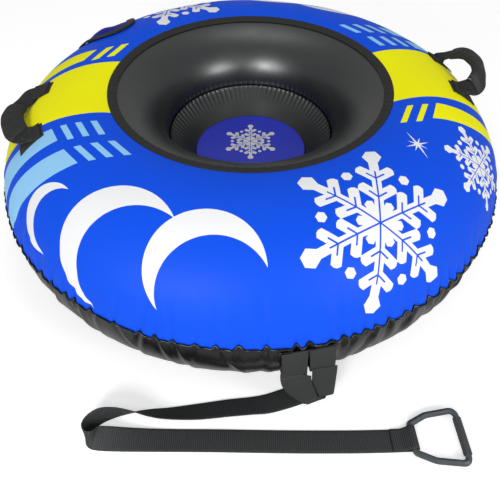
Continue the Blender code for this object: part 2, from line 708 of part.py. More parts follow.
def build_flap():
    """The half-moon flap over the valve and the tape that binds its free edge."""
    hinge = cover_frame(VALVE_TURN, flap_angle(0.0), FLAP_CLEARANCE + FLAP_THICKNESS / 2)
    empty = joint_empty("valve_flap_hinge", hinge)
    flap_length = (flap_point(0.0, 1.0, 0.0) - flap_point(0.0, 0.0, 0.0)).length
    edge_share = 1.0 - (FLAP_BINDING_WIDTH + JOINT_GAP) / flap_length
    turns = angle_steps(0.0, 180.0, FLAP_SPOKES)
    vertices = [flap_point(0.0, 0.0, FLAP_CLEARANCE + FLAP_THICKNESS)]
    for ring in range(1, FLAP_RINGS + 1):
        reach = edge_share * ring / FLAP_RINGS
        for turn in turns:
            across = reach * math.cos(math.radians(turn))
            uphill = reach * math.sin(math.radians(turn))
            bulge = flap_bulge(ring / FLAP_RINGS, uphill)
            vertices.append(flap_point(across, uphill, bulge + FLAP_THICKNESS))
    faces = [(0, 1 + step, 2 + step) for step in range(FLAP_SPOKES)]
    faces += grid_faces(FLAP_RINGS, FLAP_SPOKES + 1, 1)
    outward = hinge.to_3x3() @ Vector((0.0, 0.0, 1.0))
    flap = mesh_object("valve_flap", vertices, faces, PRINTED_COVER, facing=outward)
    wall = flap.modifiers.new("Wall", "SOLIDIFY")
    wall.thickness = FLAP_THICKNESS
    wall.offset = -1.0
    carry(flap, empty)

    top = []
    bottom = []
    for reach in (1.0 - FLAP_BINDING_WIDTH / flap_length, 1.0):
        for turn in turns:
            place = (reach * math.cos(math.radians(turn)), reach * math.sin(math.radians(turn)))
            bottom.append(flap_point(*place, FLAP_CLEARANCE))
            top.append(flap_point(*place, FLAP_CLEARANCE + FLAP_BINDING_THICKNESS))
    carry(sheet("flap_binding", top, bottom, 2, len(turns), BINDING_TAPE), empty)


def tow_frame(radius=0.0):
    """Axes at the tow loop: X along the seam, Y up, Z straight out from the tube."""
    turn = math.radians(TOW_TURN)
    outward = Vector((math.cos(turn), math.sin(turn), 0.0))
    along = Vector((-outward.y, outward.x, 0.0))
    frame = Matrix((along, Vector((0.0, 0.0, 1.0)), outward)).transposed().to_4x4()
    frame.translation = outward * radius
    return frame


def lower_radius(height):
    """The cover's radius at a height under its widest line."""
    drop = math.sqrt(1.0 - ((EQUATOR_HEIGHT - height) / EQUATOR_HEIGHT) ** 2)
    return BASE_RADIUS + (TUBE_RADIUS - BASE_RADIUS) * drop


def build_tow_loop():
    """The webbing loop under the seam, its sewn tab and the hitched webbing that hangs from it."""
    seam_skin = SEAM_BINDING_THICKNESS + LAYER_GAP
    front = TUBE_RADIUS + seam_skin + WEBBING_THICKNESS
    seam_low = section_point(SEAM_ANGLE - SEAM_BINDING_SPAN)[1]
    loop_top = seam_low - JOINT_GAP - TOW_TAB_HEIGHT
    # The curl fills the room between the loop's front and the cover behind it
    curl_centre = loop_top - LOOP_HANG + LOOP_CURL_HEIGHT / 2
    depth = (front - lower_radius(curl_centre) - LOOP_COVER_CLEARANCE) / 2
    turns = [math.pi * step / LOOP_CURL_STEPS for step in range(LOOP_CURL_STEPS + 1)]
    outline = [(front, loop_top)]
    for inset, side in ((0.0, 1.0), (WEBBING_THICKNESS, -1.0)):
        for turn in turns:
            outline.append((front - depth + side * (depth - inset) * math.cos(turn),
                            curl_centre - (LOOP_CURL_HEIGHT / 2 - inset) * math.sin(turn)))
    outline.append((front - WEBBING_THICKNESS, loop_top))
    full_width = 2 * LOOP_WEBBING_WIDTH + LOOP_SLIT
    # In the side view X points out from the tube, so an outline there is radius and height
    side_view = tow_frame() @ Matrix.Rotation(-math.pi / 2, 4, "Y")
    loop = extruded("tow_loop", [outline], full_width, side_view, WEBBING)
    slit = box_cutter("tow_slit", (-LOOP_SLIT / 2, curl_centre, front - WEBBING_THICKNESS - FIT_GAP),
                      (LOOP_SLIT / 2, loop_top + CUT_OVERRUN, front + CUT_OVERRUN), tow_frame())
    cut(solid_copy(loop), slit)

    tab_back = front - WEBBING_THICKNESS
    tab = [(front, loop_top + FIT_GAP), (front, loop_top + TOW_TAB_HEIGHT),
           (tab_back, loop_top + TOW_TAB_HEIGHT), (tab_back, loop_top + FIT_GAP)]
    extruded("tow_loop_tab", [tab], full_width, side_view, BINDING_TAPE)

    height = loop_top - LOOP_HANG - JOINT_GAP
    hitch = [(across * HITCH_WIDTH, FIT_GAP + up * (height - FIT_GAP)) for across, up in HITCH_OUTLINE_SHARES]
    extruded("tow_hitch", [hitch], HITCH_THICKNESS, tow_frame(front - HITCH_THICKNESS / 2), WEBBING)


def solid_copy(thing):
    """Turns a curve object into a mesh object of the same name, ready to be cut."""
    bpy.context.view_layer.update()
    graph = bpy.context.evaluated_depsgraph_get()
    name = thing.name
    mesh = bpy.data.meshes.new_from_object(thing.evaluated_get(graph))
    work = bmesh.new()
    work.from_mesh(mesh)
    bmesh.ops.remove_doubles(work, verts=work.verts, dist=JOIN_DISTANCE)
    bmesh.ops.recalc_face_normals(work, faces=work.faces)
    work.to_mesh(mesh)
    work.free()
    place = thing.matrix_world.copy()
    bpy.data.objects.remove(thing, do_unlink=True)
    copy = bpy.data.objects.new(name, mesh)
    PARTS.objects.link(copy)
    copy.matrix_world = place
    return copy


def strap_rings():
    """Centres and width directions along the tow strap."""
    lift = STRAP_THICKNESS / 2 + FIT_GAP
    route = smooth_route(STRAP_ROUTE, STRAP_STEPS)
    centres = []
    widths = []
    for index, (across, forward, lean) in enumerate(route):
        before = route[max(index - 1, 0)]
        beyond = route[min(index + 1, len(route) - 1)]
        heading = Vector((beyond.x - before.x, beyond.y - before.y, 0.0)).normalized()
        left = Vector((-heading.y, heading.x, 0.0))
        rise = math.radians(lean)
        width = left * math.cos(rise) + Vector((0.0, 0.0, math.sin(rise)))
        widths.append(width)
        centres.append(Vector((across, forward, lift)) + width * STRAP_WIDTH / 2)
    return centres, widths


def rounded_loop(corners, radii):
    """A closed loop of points whose corners are rounded by their own radii."""
    points = []
    for index, corner in enumerate(corners):
        here = Vector(corner)
        back = (Vector(corners[index - 1]) - here).normalized()
        ahead = (Vector(corners[(index + 1) % len(corners)]) - here).normalized()
        half = back.angle(ahead) / 2
        tangent = radii[index] / math.tan(half)
        centre = here + (back + ahead).normalized() * radii[index] / math.sin(half)
        start = here + back * tangent - centre
        sweep_angle = math.pi - 2 * half
        turn = math.copysign(1.0, ahead.cross(back))
        for step in range(CORNER_STEPS + 1):
            angle = turn * sweep_angle * step / CORNER_STEPS
            points.append(centre + Matrix.Rotation(angle, 2) @ start)
    return points


def build_tow_strap():
    """The strap on the ground, its sewn end wrap, and the pull handle that turns in the wrap."""
    centres, widths = strap_rings()
    sweep("tow_strap", centres, widths, strip(STRAP_WIDTH, STRAP_THICKNESS), WEBBING)

    heading = math.radians(PULL_TURN)
    forward = Vector((math.cos(heading), math.sin(heading), 0.0))
    strap_end = centres[-1] + forward * JOINT_GAP
    wrap_radius = ROD_RADIUS + FIT_GAP + STRAP_THICKNESS
    bar_height = FIT_GAP + wrap_radius
    rod_centre = Vector((WRAP_LENGTH, bar_height))
    tail = 2 * STRAP_THICKNESS + FIT_GAP
    angles = [math.radians(turn) for turn in angle_steps(-90.0, WRAP_TURN - 90.0, WRAP_STEPS)]
    outline = [(0.0, tail), (0.0, FIT_GAP)]
    outline += [(rod_centre.x + wrap_radius * math.cos(turn), rod_centre.y + wrap_radius * math.sin(turn))
                for turn in angles]
    hole = circle(ROD_RADIUS + FIT_GAP, WRAP_STEPS * 2, rod_centre)
    side = Vector((forward.y, -forward.x, 0.0))
    wrap_frame = Matrix((forward, Vector((0.0, 0.0, 1.0)), side)).transposed().to_4x4()
    wrap_frame.translation = Vector((strap_end.x, strap_end.y, 0.0))
    extruded("strap_end_wrap", [outline, hole], STRAP_WIDTH, wrap_frame, WEBBING)

    left = Vector((-forward.y, forward.x, 0.0))
    hinge = Matrix((left, -forward, Vector((0.0, 0.0, 1.0)))).transposed().to_4x4()
    hinge.translation = wrap_frame @ Vector((rod_centre.x, rod_centre.y, 0.0))
    empty = joint_empty("pull_handle_hinge", hinge)
    half_widths = [PULL_BAR_WIDTH / 2, PULL_SHOULDER_WIDTH / 2, PULL_GRIP_WIDTH / 2]
    reaches = [0.0, -PULL_SHOULDER_REACH, -PULL_LENGTH]
    corner_radii = [PULL_BAR_CORNER, PULL_SHOULDER_CORNER, PULL_GRIP_CORNER]
    corners = list(zip(half_widths, reaches))
    corners += [(-half_width, reach) for half_width, reach in reversed(corners)]
    loop = rounded_loop(corners, corner_radii + corner_radii[::-1])
    curve = bpy.data.curves.new("pull_handle_frame", "CURVE")
    curve.dimensions = "3D"
    curve.bevel_depth = ROD_RADIUS
    curve.bevel_resolution = ROD_SIDES_RESOLUTION
    spline = curve.splines.new("POLY")
    spline.points.add(len(loop) - 1)
    for point, place in zip(spline.points, loop):
        point.co = (place.x, place.y, 0.0, 1.0)
    spline.use_cyclic_u = True
    rod = add_object("pull_handle_frame", curve, ROD_PLASTIC)
    rod.parent = empty

    ends = [Vector((-GRIP_LENGTH / 2, -PULL_LENGTH, 0.0)), Vector((GRIP_LENGTH / 2, -PULL_LENGTH, 0.0))]
    upright = [Vector((0.0, 0.0, 1.0))] * 2
    bore_radius = (ROD_RADIUS + FIT_GAP) / math.cos(math.pi / GRIP_SIDES)
    grip = sweep("pull_handle_grip", ends, upright, circle(GRIP_RADIUS, GRIP_SIDES), GRIP_RUBBER,
                 bore=circle(bore_radius, GRIP_SIDES))
    carry(grip, empty, in_world=False)


build_covers()
build_bladder()
build_seat()
build_handle("right")
build_handle("left")
build_valve()
build_flap()
build_tow_loop()
build_tow_strap()
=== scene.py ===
import math
import random

import bpy
import numpy as np
from mathutils import Matrix, Vector


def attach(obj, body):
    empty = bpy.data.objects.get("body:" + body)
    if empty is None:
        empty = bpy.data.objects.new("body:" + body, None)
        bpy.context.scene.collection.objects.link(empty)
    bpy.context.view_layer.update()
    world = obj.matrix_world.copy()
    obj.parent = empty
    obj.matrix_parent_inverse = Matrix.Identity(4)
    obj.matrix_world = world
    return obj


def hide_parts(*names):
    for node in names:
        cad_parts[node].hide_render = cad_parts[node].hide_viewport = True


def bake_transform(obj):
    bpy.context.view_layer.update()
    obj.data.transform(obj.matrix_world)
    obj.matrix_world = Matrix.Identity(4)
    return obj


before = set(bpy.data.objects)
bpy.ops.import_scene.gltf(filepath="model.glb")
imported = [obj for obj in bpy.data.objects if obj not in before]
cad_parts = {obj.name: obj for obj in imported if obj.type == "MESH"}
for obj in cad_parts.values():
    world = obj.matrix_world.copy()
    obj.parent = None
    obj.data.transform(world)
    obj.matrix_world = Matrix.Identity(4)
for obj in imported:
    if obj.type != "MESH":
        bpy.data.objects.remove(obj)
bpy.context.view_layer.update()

UP = Vector((0.0, 0.0, 1.0))

# Camera fitted to the picture: millimetres, shares of the frame's width, metres and degrees below level
SENSOR_WIDTH = 36.0
LENS = 40.98
CAMERA_SHIFT = (-0.0010, -0.1367)
CAMERA_PLACE = (0.0, -0.9822, 0.9603)
CAMERA_PITCH = 41.215

# The tube's section, at its outer skin, in metres
TUBE_RADIUS = 0.510
EQUATOR_HEIGHT = 0.175
CROWN_RADIUS = 0.320
CROWN_HEIGHT = 0.350
CREASE_RADIUS = 0.173
CREASE_HEIGHT = 0.227
BASE_RADIUS = 0.360

# Angles round the section, in degrees
SEAM_ANGLE = 3.9
RIM_ANGLE = 105.0
RIM_BINDING_SPAN = 7.3
# How far the rim tape and the printed cloth reach past the rim's angle
RIM_TAPE_OVERLAP = 0.4
RIM_CLOTH_OVERLAP = 0.6
# The rim tape's profile: the share of its span and the height over the skin
RIM_TAPE_PROFILE = [
    (0.0, -0.0008), (0.0, 0.0009), (0.05, 0.0014), (0.28, 0.0017), (0.5, 0.0017), (0.72, 0.0016),
    (0.93, 0.0013), (1.0, 0.0008), (1.0, -0.0007),
]
# The elastic's gathers on the rim tape: height, number and start
RIM_GATHERS = [(0.00022, 113.0, 0.0), (0.00018, 71.0, 50.0)]
# The printed cloth's lower edge goes down and in behind the seam tape
COVER_TUCK_DROP = 0.0012
COVER_TUCK_SHARE = 0.9965
# The piped tape on the seam
PIPING_SIDES = 8
PIPING_REACH = 0.0018
PIPING_RISE = 0.0030
PIPING_DROP = 0.0016
# The bladder's depth under the skin, and how much deeper it lies under the cover's folds
BLADDER_DEPTH = 0.0017
BLADDER_CLEARANCE = 0.007
# The section angle where it starts to lie deeper, and the degrees over which it goes down
CLEARANCE_START = 95.0
CLEARANCE_SPAN = 25.0
# The weld swells the bladder up to its edge
WELD_RISE = 0.0014
WELD_ANGLE = 2.2

# Folds at the seam: ranges of strength, width, reach and slant, and of the steps between them in degrees
FOLD_SEED = 11
FOLD_STRENGTHS = (0.30, 0.80)
FOLD_WIDTHS = (0.7, 1.4)
FOLD_REACHES = (14.0, 42.0)
FOLD_SLANTS = (-0.05, 0.05)
FOLD_STEPS = (2.4, 5.6)
# They are stronger and closer together round one azimuth
FOLD_CENTRE = 302.0
FOLD_CENTRE_SPREAD = 26.0
FOLD_CENTRE_STRENGTH = 0.35
FOLD_CENTRE_SHARES = (0.3, 1.0)
FOLD_CENTRE_CROWDING = 0.3
# Depth of the valleys and height of the ridges beside them, above and below the seam
UPPER_FOLD = (0.0040, 0.0026)
LOWER_FOLD = (0.0050, 0.0034)
# A ridge's distance from its valley, in widths of the valley
RIDGE_DISTANCE = 1.7
# A valley's width above the seam, as shares of the fold's: at the seam and what it gains further up
UPPER_VALLEY = (0.5, 0.9)
UPPER_FADE = 1.4
# Below the seam: a valley's share of the fold's width, the degrees in which it doubles and its longer reach
LOWER_VALLEY = (0.55, 40.0)
LOWER_EXTRA_REACH = 38.0
LOWER_LEAN = 0.10
# The folds below end where the base gets flat: section angle and the degrees over which they fade
BASE_START = 80.0
BASE_FADE = 30.0
# How far the seam rises at a fold, in degrees
SCALLOP_RISE = 3.4
# One flank of a rise is steeper than the other, which makes the scallops lean
SCALLOP_FLANKS = (1.5, 0.75)
SCALLOP_SHARPNESS = 1.3
# The seam's slow wave: height in degrees, number and start
SEAM_WAVE = (0.35, 11.0, 20.0)
# The inflated cloth's slow unevenness: height, then two crossed waves by azimuth, section angle and start
SWELLS = [
    (0.0009, (7.0, 2.1, 0.0), (3.0, -3.3, 40.0)),
    (0.0005, (13.0, -4.0, 80.0), (5.0, 5.0, 0.0)),
]

# Seat
DISC_RADIUS = 0.121
DISC_HEIGHT = 0.173
# The disc's profile from its flat middle to its rolled edge: radius and height over its face
DISC_PROFILE = [
    (0.06, 0.0), (DISC_RADIUS - 0.004, 0.0), (DISC_RADIUS - 0.0015, 0.0004), (DISC_RADIUS - 0.0006, -0.0003),
    (DISC_RADIUS - 0.0005, -0.0018),
]
MEMBRANE_EDGE_RADIUS = 0.1705
PUCKERS = 90
PUCKER_DEPTH = 0.0038
PUCKER_LENGTH = 0.024
PUCKER_START = 0.004
# The ribs' height between two puckers, and its slow change round the weld: height and number
PUCKER_RISE = 0.0008
PUCKER_SWELL = (0.0006, 5.0)
BLADDER_PUCKER_DEPTH = 0.0005
BLADDER_PUCKER_ANGLE = 5.0
# The membrane's depth under the disc's face, and how far it runs under the disc
MEMBRANE_SINK = 0.0023
MEMBRANE_TUCK = 0.006

# Grab handles
HANDLE_TURNS = {"right": 10.5, "left": 190.5}
# The end of each hinge that is nearer the camera, as a sign along it
NEAR_END = {"right": 1, "left": -1}
HANDLE_SPAN = 0.142
HANDLE_REACH = 0.058
HANDLE_ANGLE = 55.0
HANDLE_LIFT = 0.0067
HANDLE_LEAN = 68.0
HANDLE_WEBBING_WIDTH = 0.042
WEBBING_THICKNESS = 0.0024
PATCH_LENGTH_ANGLE = 19.0
SLEEVE_WIDTH = 0.045
SLEEVE_HEIGHT = 0.0185
# The sleeve's width and height at its ends, the share of its length where it is full, and its foam's size
SLEEVE_END_SIZE = (0.86, 0.40)
SLEEVE_END_SHARE = 0.14
FOAM_SIZE = (0.93, 0.80)
# Where the padded sleeve starts and ends, as shares of the loop's length
SLEEVE_SPANS = {"right": (0.12, 0.84), "left": (0.27, 0.86)}
# A loop's route: along the hinge as shares of half its span, outwards and up as shares of its reach
HANDLE_ROUTE_SHARES = {
    "right": [
        (0.99, 0.04, -0.02), (1.00, 0.44, -0.01), (0.80, 0.70, 0.18), (0.45, 0.85, 0.31),
        (0.05, 0.85, 0.41), (-0.30, 0.69, 0.39), (-0.52, 0.43, 0.23), (-0.66, 0.20, 0.04),
        (-0.69, 0.02, -0.02),
    ],
    "left": [
        (0.94, 0.00, 0.00), (0.93, 0.14, -0.05), (0.71, 0.34, -0.12), (0.40, 0.60, -0.13),
        (0.02, 0.71, -0.13), (-0.45, 0.60, -0.12), (-0.80, 0.42, -0.12), (-1.00, 0.18, -0.07),
        (-1.00, 0.00, 0.00),
    ],
}
# The webbing's lean at each point of the route, as a share of the full lean
HANDLE_LEAN_SHARES = {
    "right": [0.0, 0.50, 0.75, 0.60, 0.24, 0.06, 0.0, 0.0, 0.0],
    "left": [0.0, 0.0, 0.05, 0.12, 0.20, 0.28, 0.25, 0.12, 0.0],
}
# How far each patch sits down the slope and away from the handle's middle, in degrees
PATCH_DROPS = {"right": {"front": 1.6, "rear": 3.0}, "left": {"front": 1.6, "rear": 0.0}}
PATCH_SHIFTS = {"right": {"front": 0.7, "rear": -2.9}, "left": {"front": 0.7, "rear": 0.0}}
# The stitched box on a patch, its lines' widths as shares of its size, and its dashes
STITCH_HALF_LENGTH = 0.024
STITCH_HALF_WIDTH = 0.0165
STITCH_BOX_LINE = 0.035
STITCH_CROSS_LINE = 0.05
STITCHES_PER_METRE = 330.0
STITCH_SHARE = 0.72
# The webbing's places on its patch, in degrees uphill, and its height over the skin
ROOT_ANGLES = (2.6, 5.2, 7.8)
ROOT_LIFT = 0.0042
# A patch's profile: the share of its half width and the height over the skin
PATCH_PROFILE = [
    (-1.0, 0.0004), (-1.0, 0.0018), (-0.95, 0.0026), (-0.6, 0.0029), (0.0, 0.0030),
    (0.6, 0.0029), (0.95, 0.0026), (1.0, 0.0018), (1.0, 0.0004),
]
# The most that a patch stands up at its ends, on the last rows
PATCH_END_HEIGHTS = (0.0004, 0.0022, 0.0030)

# Valve and its flap
VALVE_TURN = 146.25
VALVE_ANGLE = 62.0
COVER_HOLE_RADIUS = 0.021
FLAP_TURN = 143.4
FLAP_WIDTH = 0.162
FLAP_HEIGHT = 0.093
FLAP_BELOW_VALVE = 0.039
FLAP_BULGE = 0.0030
FLAP_BUMP = 0.0062
FLAP_BUMP_RADIUS = 0.027
FLAP_CLEARANCE = 0.0012
FLAP_SQUARENESS = 0.88
FLAP_BEND_START = 0.09
FLAP_BEND_END = 0.25
FLAP_SEWN_SHARE = 0.25
FLAP_BINDING_WIDTH = 0.0150
FLAP_BINDING_THICKNESS = 0.0045
FLAP_BINDING_INNER_SHARE = 0.94
FLAP_CORNER_SINK = 0.0008
FLAP_DENT = 0.0012

# Tow loop, its hitch and the strap
TOW_TURN = -80.0
LOOP_WIDTH = 0.042
# The tape that holds the loop: half its turn in degrees, section angle, height over the skin and size
TAB_HALF_TURN = 5.4
TAB_ANGLE = 0.8
TAB_LIFT = 0.0030
TAB_WIDTH = 0.0060
TAB_THICKNESS = 0.0016
# The legs' shared side view, as distances from the ring's middle and heights
LOOP_SIDE = [
    (0.5128, 0.1775), (0.5150, 0.1700), (0.5160, 0.1560), (0.5163, 0.1400), (0.5160, 0.1260),
    (0.5148, 0.1160), (0.5105, 0.1105), (0.5045, 0.1110), (0.5008, 0.1170), (0.5010, 0.1300),
]
# Each leg's place along the seam, how much higher it turns back, and its lean and drift at its lower end
LOOP_LEGS = [(-0.0218, -0.001, -0.20, 0.0026), (0.0228, 0.0025, -0.16, 0.0042)]
# Bands of the knot: place along the seam, height, distance from the middle, width and its rise per metre
KNOT_BANDS = {
    "tow_knot_right": [
        (0.0295, 0.1275, 0.5175, 0.042, -0.10), (0.0295, 0.1150, 0.5192, 0.042, -0.08),
        (0.0310, 0.0900, 0.5195, 0.040, 0.00), (0.0355, 0.0600, 0.5180, 0.034, 0.06),
        (0.0415, 0.0300, 0.5140, 0.026, 0.12), (0.0400, 0.0170, 0.5090, 0.024, 0.25),
    ],
    "tow_knot_left": [
        (-0.0155, 0.1195, 0.5130, 0.048, 0.20), (-0.0180, 0.1120, 0.5185, 0.050, 0.27),
        (-0.0135, 0.0910, 0.5220, 0.047, 0.40), (-0.0020, 0.0640, 0.5230, 0.038, 0.60),
        (0.0100, 0.0360, 0.5205, 0.029, 0.80), (0.0170, 0.0200, 0.5150, 0.024, 0.85),
    ],
    "tow_knot_tail": [
        (0.0205, 0.0300, 0.5160, 0.026, 0.60), (0.0225, 0.0160, 0.5150, 0.032, 0.50),
        (0.0255, 0.0085, 0.5100, 0.036, 0.30), (0.0275, 0.0048, 0.5000, 0.038, 0.10),
        (0.0285, 0.0042, 0.4860, 0.038, 0.00), (0.0290, 0.0040, 0.4740, 0.038, 0.00),
    ],
}
STRAP_WIDTH = 0.038
STRAP_THICKNESS = 0.0020
FLOOR_GAP = 0.0003
# The pull handle's bar from the strap's end, and the room between layers of webbing
BAR_DISTANCE = 0.0330
BAR_HEIGHT = 0.0081
BAR_RADIUS = 0.0055
LAYER_GAP = 0.0003
# The wrap's heading on the ground and its sweep round the bar, in degrees
WRAP_HEADING = 2.5
WRAP_SWEEP = 235.0
# The wrap's layers from the strap's end: along it for the lower one, along and up for the upper one
LOWER_LAYER = (-0.004, 0.012)
UPPER_LAYER = [(0.0165, 0.0006), (0.0090, 0.0), (-0.0010, 0.0)]
# Places across and forwards on the ground, and the band's lean in degrees
STRAP_ROUTE = [
    (0.1120, -0.4560, 0.0), (0.0830, -0.4640, 0.0), (0.0560, -0.4735, 2.0), (0.0250, -0.4840, 8.0),
    (-0.0020, -0.4890, 15.0), (-0.0420, -0.4935, 17.0), (-0.0910, -0.5010, 22.0),
    (-0.1400, -0.5080, 35.0), (-0.1720, -0.5110, 47.0), (-0.1960, -0.5150, 62.0),
    (-0.2270, -0.5240, 86.0), (-0.2520, -0.5360, 104.0), (-0.2680, -0.5520, 104.0),
    (-0.2730, -0.5650, 84.0), (-0.2680, -0.5755, 58.0), (-0.2540, -0.5805, 36.0),
    (-0.2250, -0.5822, 16.0), (-0.1850, -0.5828, 5.0), (-0.1330, -0.5830, 0.0),
    (-0.0600, -0.5835, 0.0), (0.0000, -0.5845, 0.0), (0.0800, -0.5855, 0.0),
    (0.1600, -0.5855, 0.0), (0.2050, -0.5848, 0.0), (0.2360, -0.5840, 0.0),
]

# Colours of the prints and the stitches, and the painted shade of the seat disc's groove
BLUE = (0.004, 0.082, 0.78)
YELLOW = (0.98, 0.95, 0.002)
LIGHT_BLUE = (0.30, 0.63, 0.95)
WHITE = (0.86, 0.87, 0.88)
DISC_BLUE = (0.020, 0.040, 0.66)
DISC_PALE_INK = (0.30, 0.36, 0.50)
# Painted shade of the groove round the seat disc
DISC_GROOVE_SHADE = (0.008, 0.009, 0.012)
THREAD = (0.055, 0.056, 0.058)

# The print on the flattened cover, in metres. A band has two edges, each a slope and a height
LEFT_BAND = ((0.16, -0.0715), (0.2954, 0.1531))
RIGHT_BAND = ((0.1961, -0.1301), (0.1861, 0.0598))
# A stripe is two edges, and two points of the line that cuts its end
LEFT_STRIPE = ((0.3303, 0.1907), (0.11, 0.156), (-0.3520, 0.0735), (-0.3333, 0.1171))
RIGHT_STRIPE = ((0.1108, -0.1678), (0.0683, -0.1061), (0.3522, -0.0847), (0.3340, -0.1329))
PALE_STRIPES = [
    ((0.3063, -0.0819), (0.1672, -0.0922), (-0.3409, -0.1914), (-0.3616, -0.1539)),
    ((0.2996, -0.1621), (0.2483, -0.1306), (-0.2915, -0.2514), (-0.3251, -0.2133)),
]
# A row of bars: its corner, the step to the next bar, a bar's slant, its share of the step and their number
YELLOW_BARS = [
    ((0.2942, -0.0962), (0.0296, 0.0050), (-0.0232, -0.0532), 0.40, 2),
    ((-0.3120, 0.1245), (0.0300, 0.0138), (-0.0228, -0.0545), 0.50, 2),
]
PALE_BARS = [
    ((-0.3463, -0.1501), (0.0278, 0.0030), (0.0234, -0.0404), 0.42, 3),
    ((-0.3083, -0.2107), (0.0300, 0.0037), (0.0354, -0.0386), 0.42, 3),
]
# The pale shapes' shift once they are turned half round for the right side
PALE_SHIFT = (0.004, -0.0085)
# Centre, radius and tilt of each snowflake, and centre and radius of the star
FRONT_FLAKE = ((0.2031, -0.3766), 0.145, 90.0)
SIDE_FLAKE = ((0.4256, -0.2103), 0.084, -5.0)
DISC_FLAKE = ((0.0, 0.022), 0.062, 90.0)
STAR = ((0.2900, -0.2079), 0.034)
# The star's rays: tilt, and reach as a share of its radius
STAR_RAYS = [(22.0, 0.72), (-66.0, 1.0), (67.0, 0.55), (-23.0, 0.55)]
STAR_SHARPNESS = 14.0
# Crescents of the front left: centre, radius and the bite's place as shares of the radius
CRESCENTS = [
    ((-0.352, -0.338), 0.062, (0.34, -0.26)),
    ((-0.218, -0.420), 0.110, (0.26, -0.34)),
    ((-0.072, -0.462), 0.098, (0.14, -0.42)),
]
BITE_SHARE = 0.98

# A snowflake's parts, as shares of its radius
ARM_LENGTH = 0.82
ARM_HALF_WIDTH = 0.055
BRANCH_ROOTS = (0.305, 0.555)
BRANCH_SLOPE = 56.0
BRANCH_LENGTH = 0.252
BRANCH_HALF_WIDTH = 0.062
BRANCH_TIP = 0.262
BRANCH_START = -0.03
TIP_PLACE = 0.895
TIP_SIZE = 0.098
LOBE_LENGTH = 0.278
LOBE_HALF_WIDTH = 0.052
HEART_LENGTH = 0.23
DOT_PLACE = 0.655
DOT_SIZE = 0.058
# How much faster than their width the tips of the branch, the lobe and the heart draw in
BRANCH_BLUNTNESS = 0.55
LOBE_BLUNTNESS = 0.5
HEART_BLUNTNESS = 1.1
# Length and half width of the grooves down an arm and down a branch
ARM_GROOVE = (0.66, 0.0095)
BRANCH_GROOVE = (0.125, 0.010)
# Cosine and sine of a hexagon's slanted side
HEXAGON = (0.5, 0.866)

# The disc's two bars, from their lower to their upper edge, and where the painted shade of the groove starts
# on its rim
DISC_THICK_BAR = (-0.063, -0.055)
DISC_THIN_BAR = (-0.074, -0.067)
DISC_BAR_HALF_LENGTH = 0.075
DISC_GROOVE_SHADE_RADIUS = 0.1185

# Floor and light: each lamp's place, aim, size and power
FLOOR_REACH = 6.0
FLOOR_COLOUR = (0.80, 0.80, 0.80)
FLOOR_GLOW = 0.50
SKY_LIGHT = 0.48
LAMPS = [
    ("key", (-0.60, -2.00, 1.05), (0.0, -0.1, 0.15), 0.45, 20.0),
    ("fill", (1.40, -1.35, 0.90), (0.0, -0.1, 0.15), 0.40, 9.0),
    ("top", (-0.10, 0.25, 2.20), (0.0, 0.0, 0.15), 0.80, 5.0),
]
# Lamps that only show as highlights
SHINES = [
    ("shine_left", (-0.78, -1.54, 0.80), (0.0, 0.15, 0.28), 0.70, 17.0),
    ("shine_right", (1.01, -1.30, 0.72), (0.0, 0.15, 0.28), 0.70, 14.0),
]

# Facets round the ring, and rows as stretches: where each ends and its number of steps
COVER_COLUMNS = 960
SEAT_COLUMNS = 720
DISC_COLUMNS = 180
UPPER_ROWS = [(0.45, 21), (0.80, 23), (1.0, 21)]
LOWER_ROWS = [(0.3, 13), (1.0, 25)]
BOWL_ANGLES = [(172.0, 8), (90.0, 39), (0.0, 23)]
MEMBRANE_ROWS = 28
UNDERSIDE_SHARES = (0.9, 0.6, 0.3, 0.02)
SLEEVE_STEPS = 48
SLEEVE_SIDES = 32
FOAM_SIDES = 24
FOAM_TRIM = 2
WRAP_STEPS = 16
PATCH_STEPS = 24
FLAP_RINGS = 22
FLAP_SPOKES = 72
# Steps between two points of a route
STRAP_STEPS = 8
WRAP_ROUTE_STEPS = 4
HANDLE_STEPS = 6
LOOP_STEPS = 5


# Camera


def make_camera():
    """The camera at the picture's own viewpoint."""
    data = bpy.data.cameras.new("camera")
    data.sensor_width = SENSOR_WIDTH
    data.lens = LENS
    data.shift_x, data.shift_y = CAMERA_SHIFT
    camera = bpy.data.objects.new("camera", data)
    bpy.context.scene.collection.objects.link(camera)
    camera.location = CAMERA_PLACE
    camera.rotation_euler = (math.radians(90.0 - CAMERA_PITCH), 0.0, 0.0)
    bpy.context.scene.camera = camera


make_camera()


# Sums made by shader nodes


class Signal:
    """A number or vector worked out by shader nodes, with Python's operators for sums."""

    def __init__(self, tree, socket):
        self.tree = tree
        self.socket = socket

    def math(self, operation, *others):
        """A Math node on this number and others."""
        node = self.tree.nodes.new("ShaderNodeMath")
        node.operation = operation
        for slot, value in zip(node.inputs, (self, *others)):
            if isinstance(value, Signal):
                self.tree.links.new(value.socket, slot)
            else:
                slot.default_value = value
        return Signal(self.tree, node.outputs[0])

    def __add__(self, other):
        return self.math("ADD", other)

    def __sub__(self, other):
        return self.math("SUBTRACT", other)

    def __mul__(self, other):
        return self.math("MULTIPLY", other)

    def __truediv__(self, other):
        return self.math("DIVIDE", other)

    def above(self, level):
        """1 where this is over a level, else 0."""
        return self.math("GREATER_THAN", level)

    def below(self, level):
        """1 where this is under a level, else 0."""
        return self.math("LESS_THAN", level)

    def either(self, other):
        """The larger of two numbers, which joins two masks."""
        return self.math("MAXIMUM", other)

    def both(self, other):
        """The smaller of two numbers, which crosses two masks."""
        return self.math("MINIMUM", other)

    def inverse(self):
        """One minus this."""
        return self.math("MULTIPLY_ADD", -1.0, 1.0)

    def size(self):
        """Without its sign."""
        return self.math("ABSOLUTE")


def new_material(name):
    """A material with its tree and Principled shader."""
    material = bpy.data.materials.new(name)
    material.use_nodes = True
    tree = material.node_tree
    return material, tree, tree.nodes["Principled BSDF"]


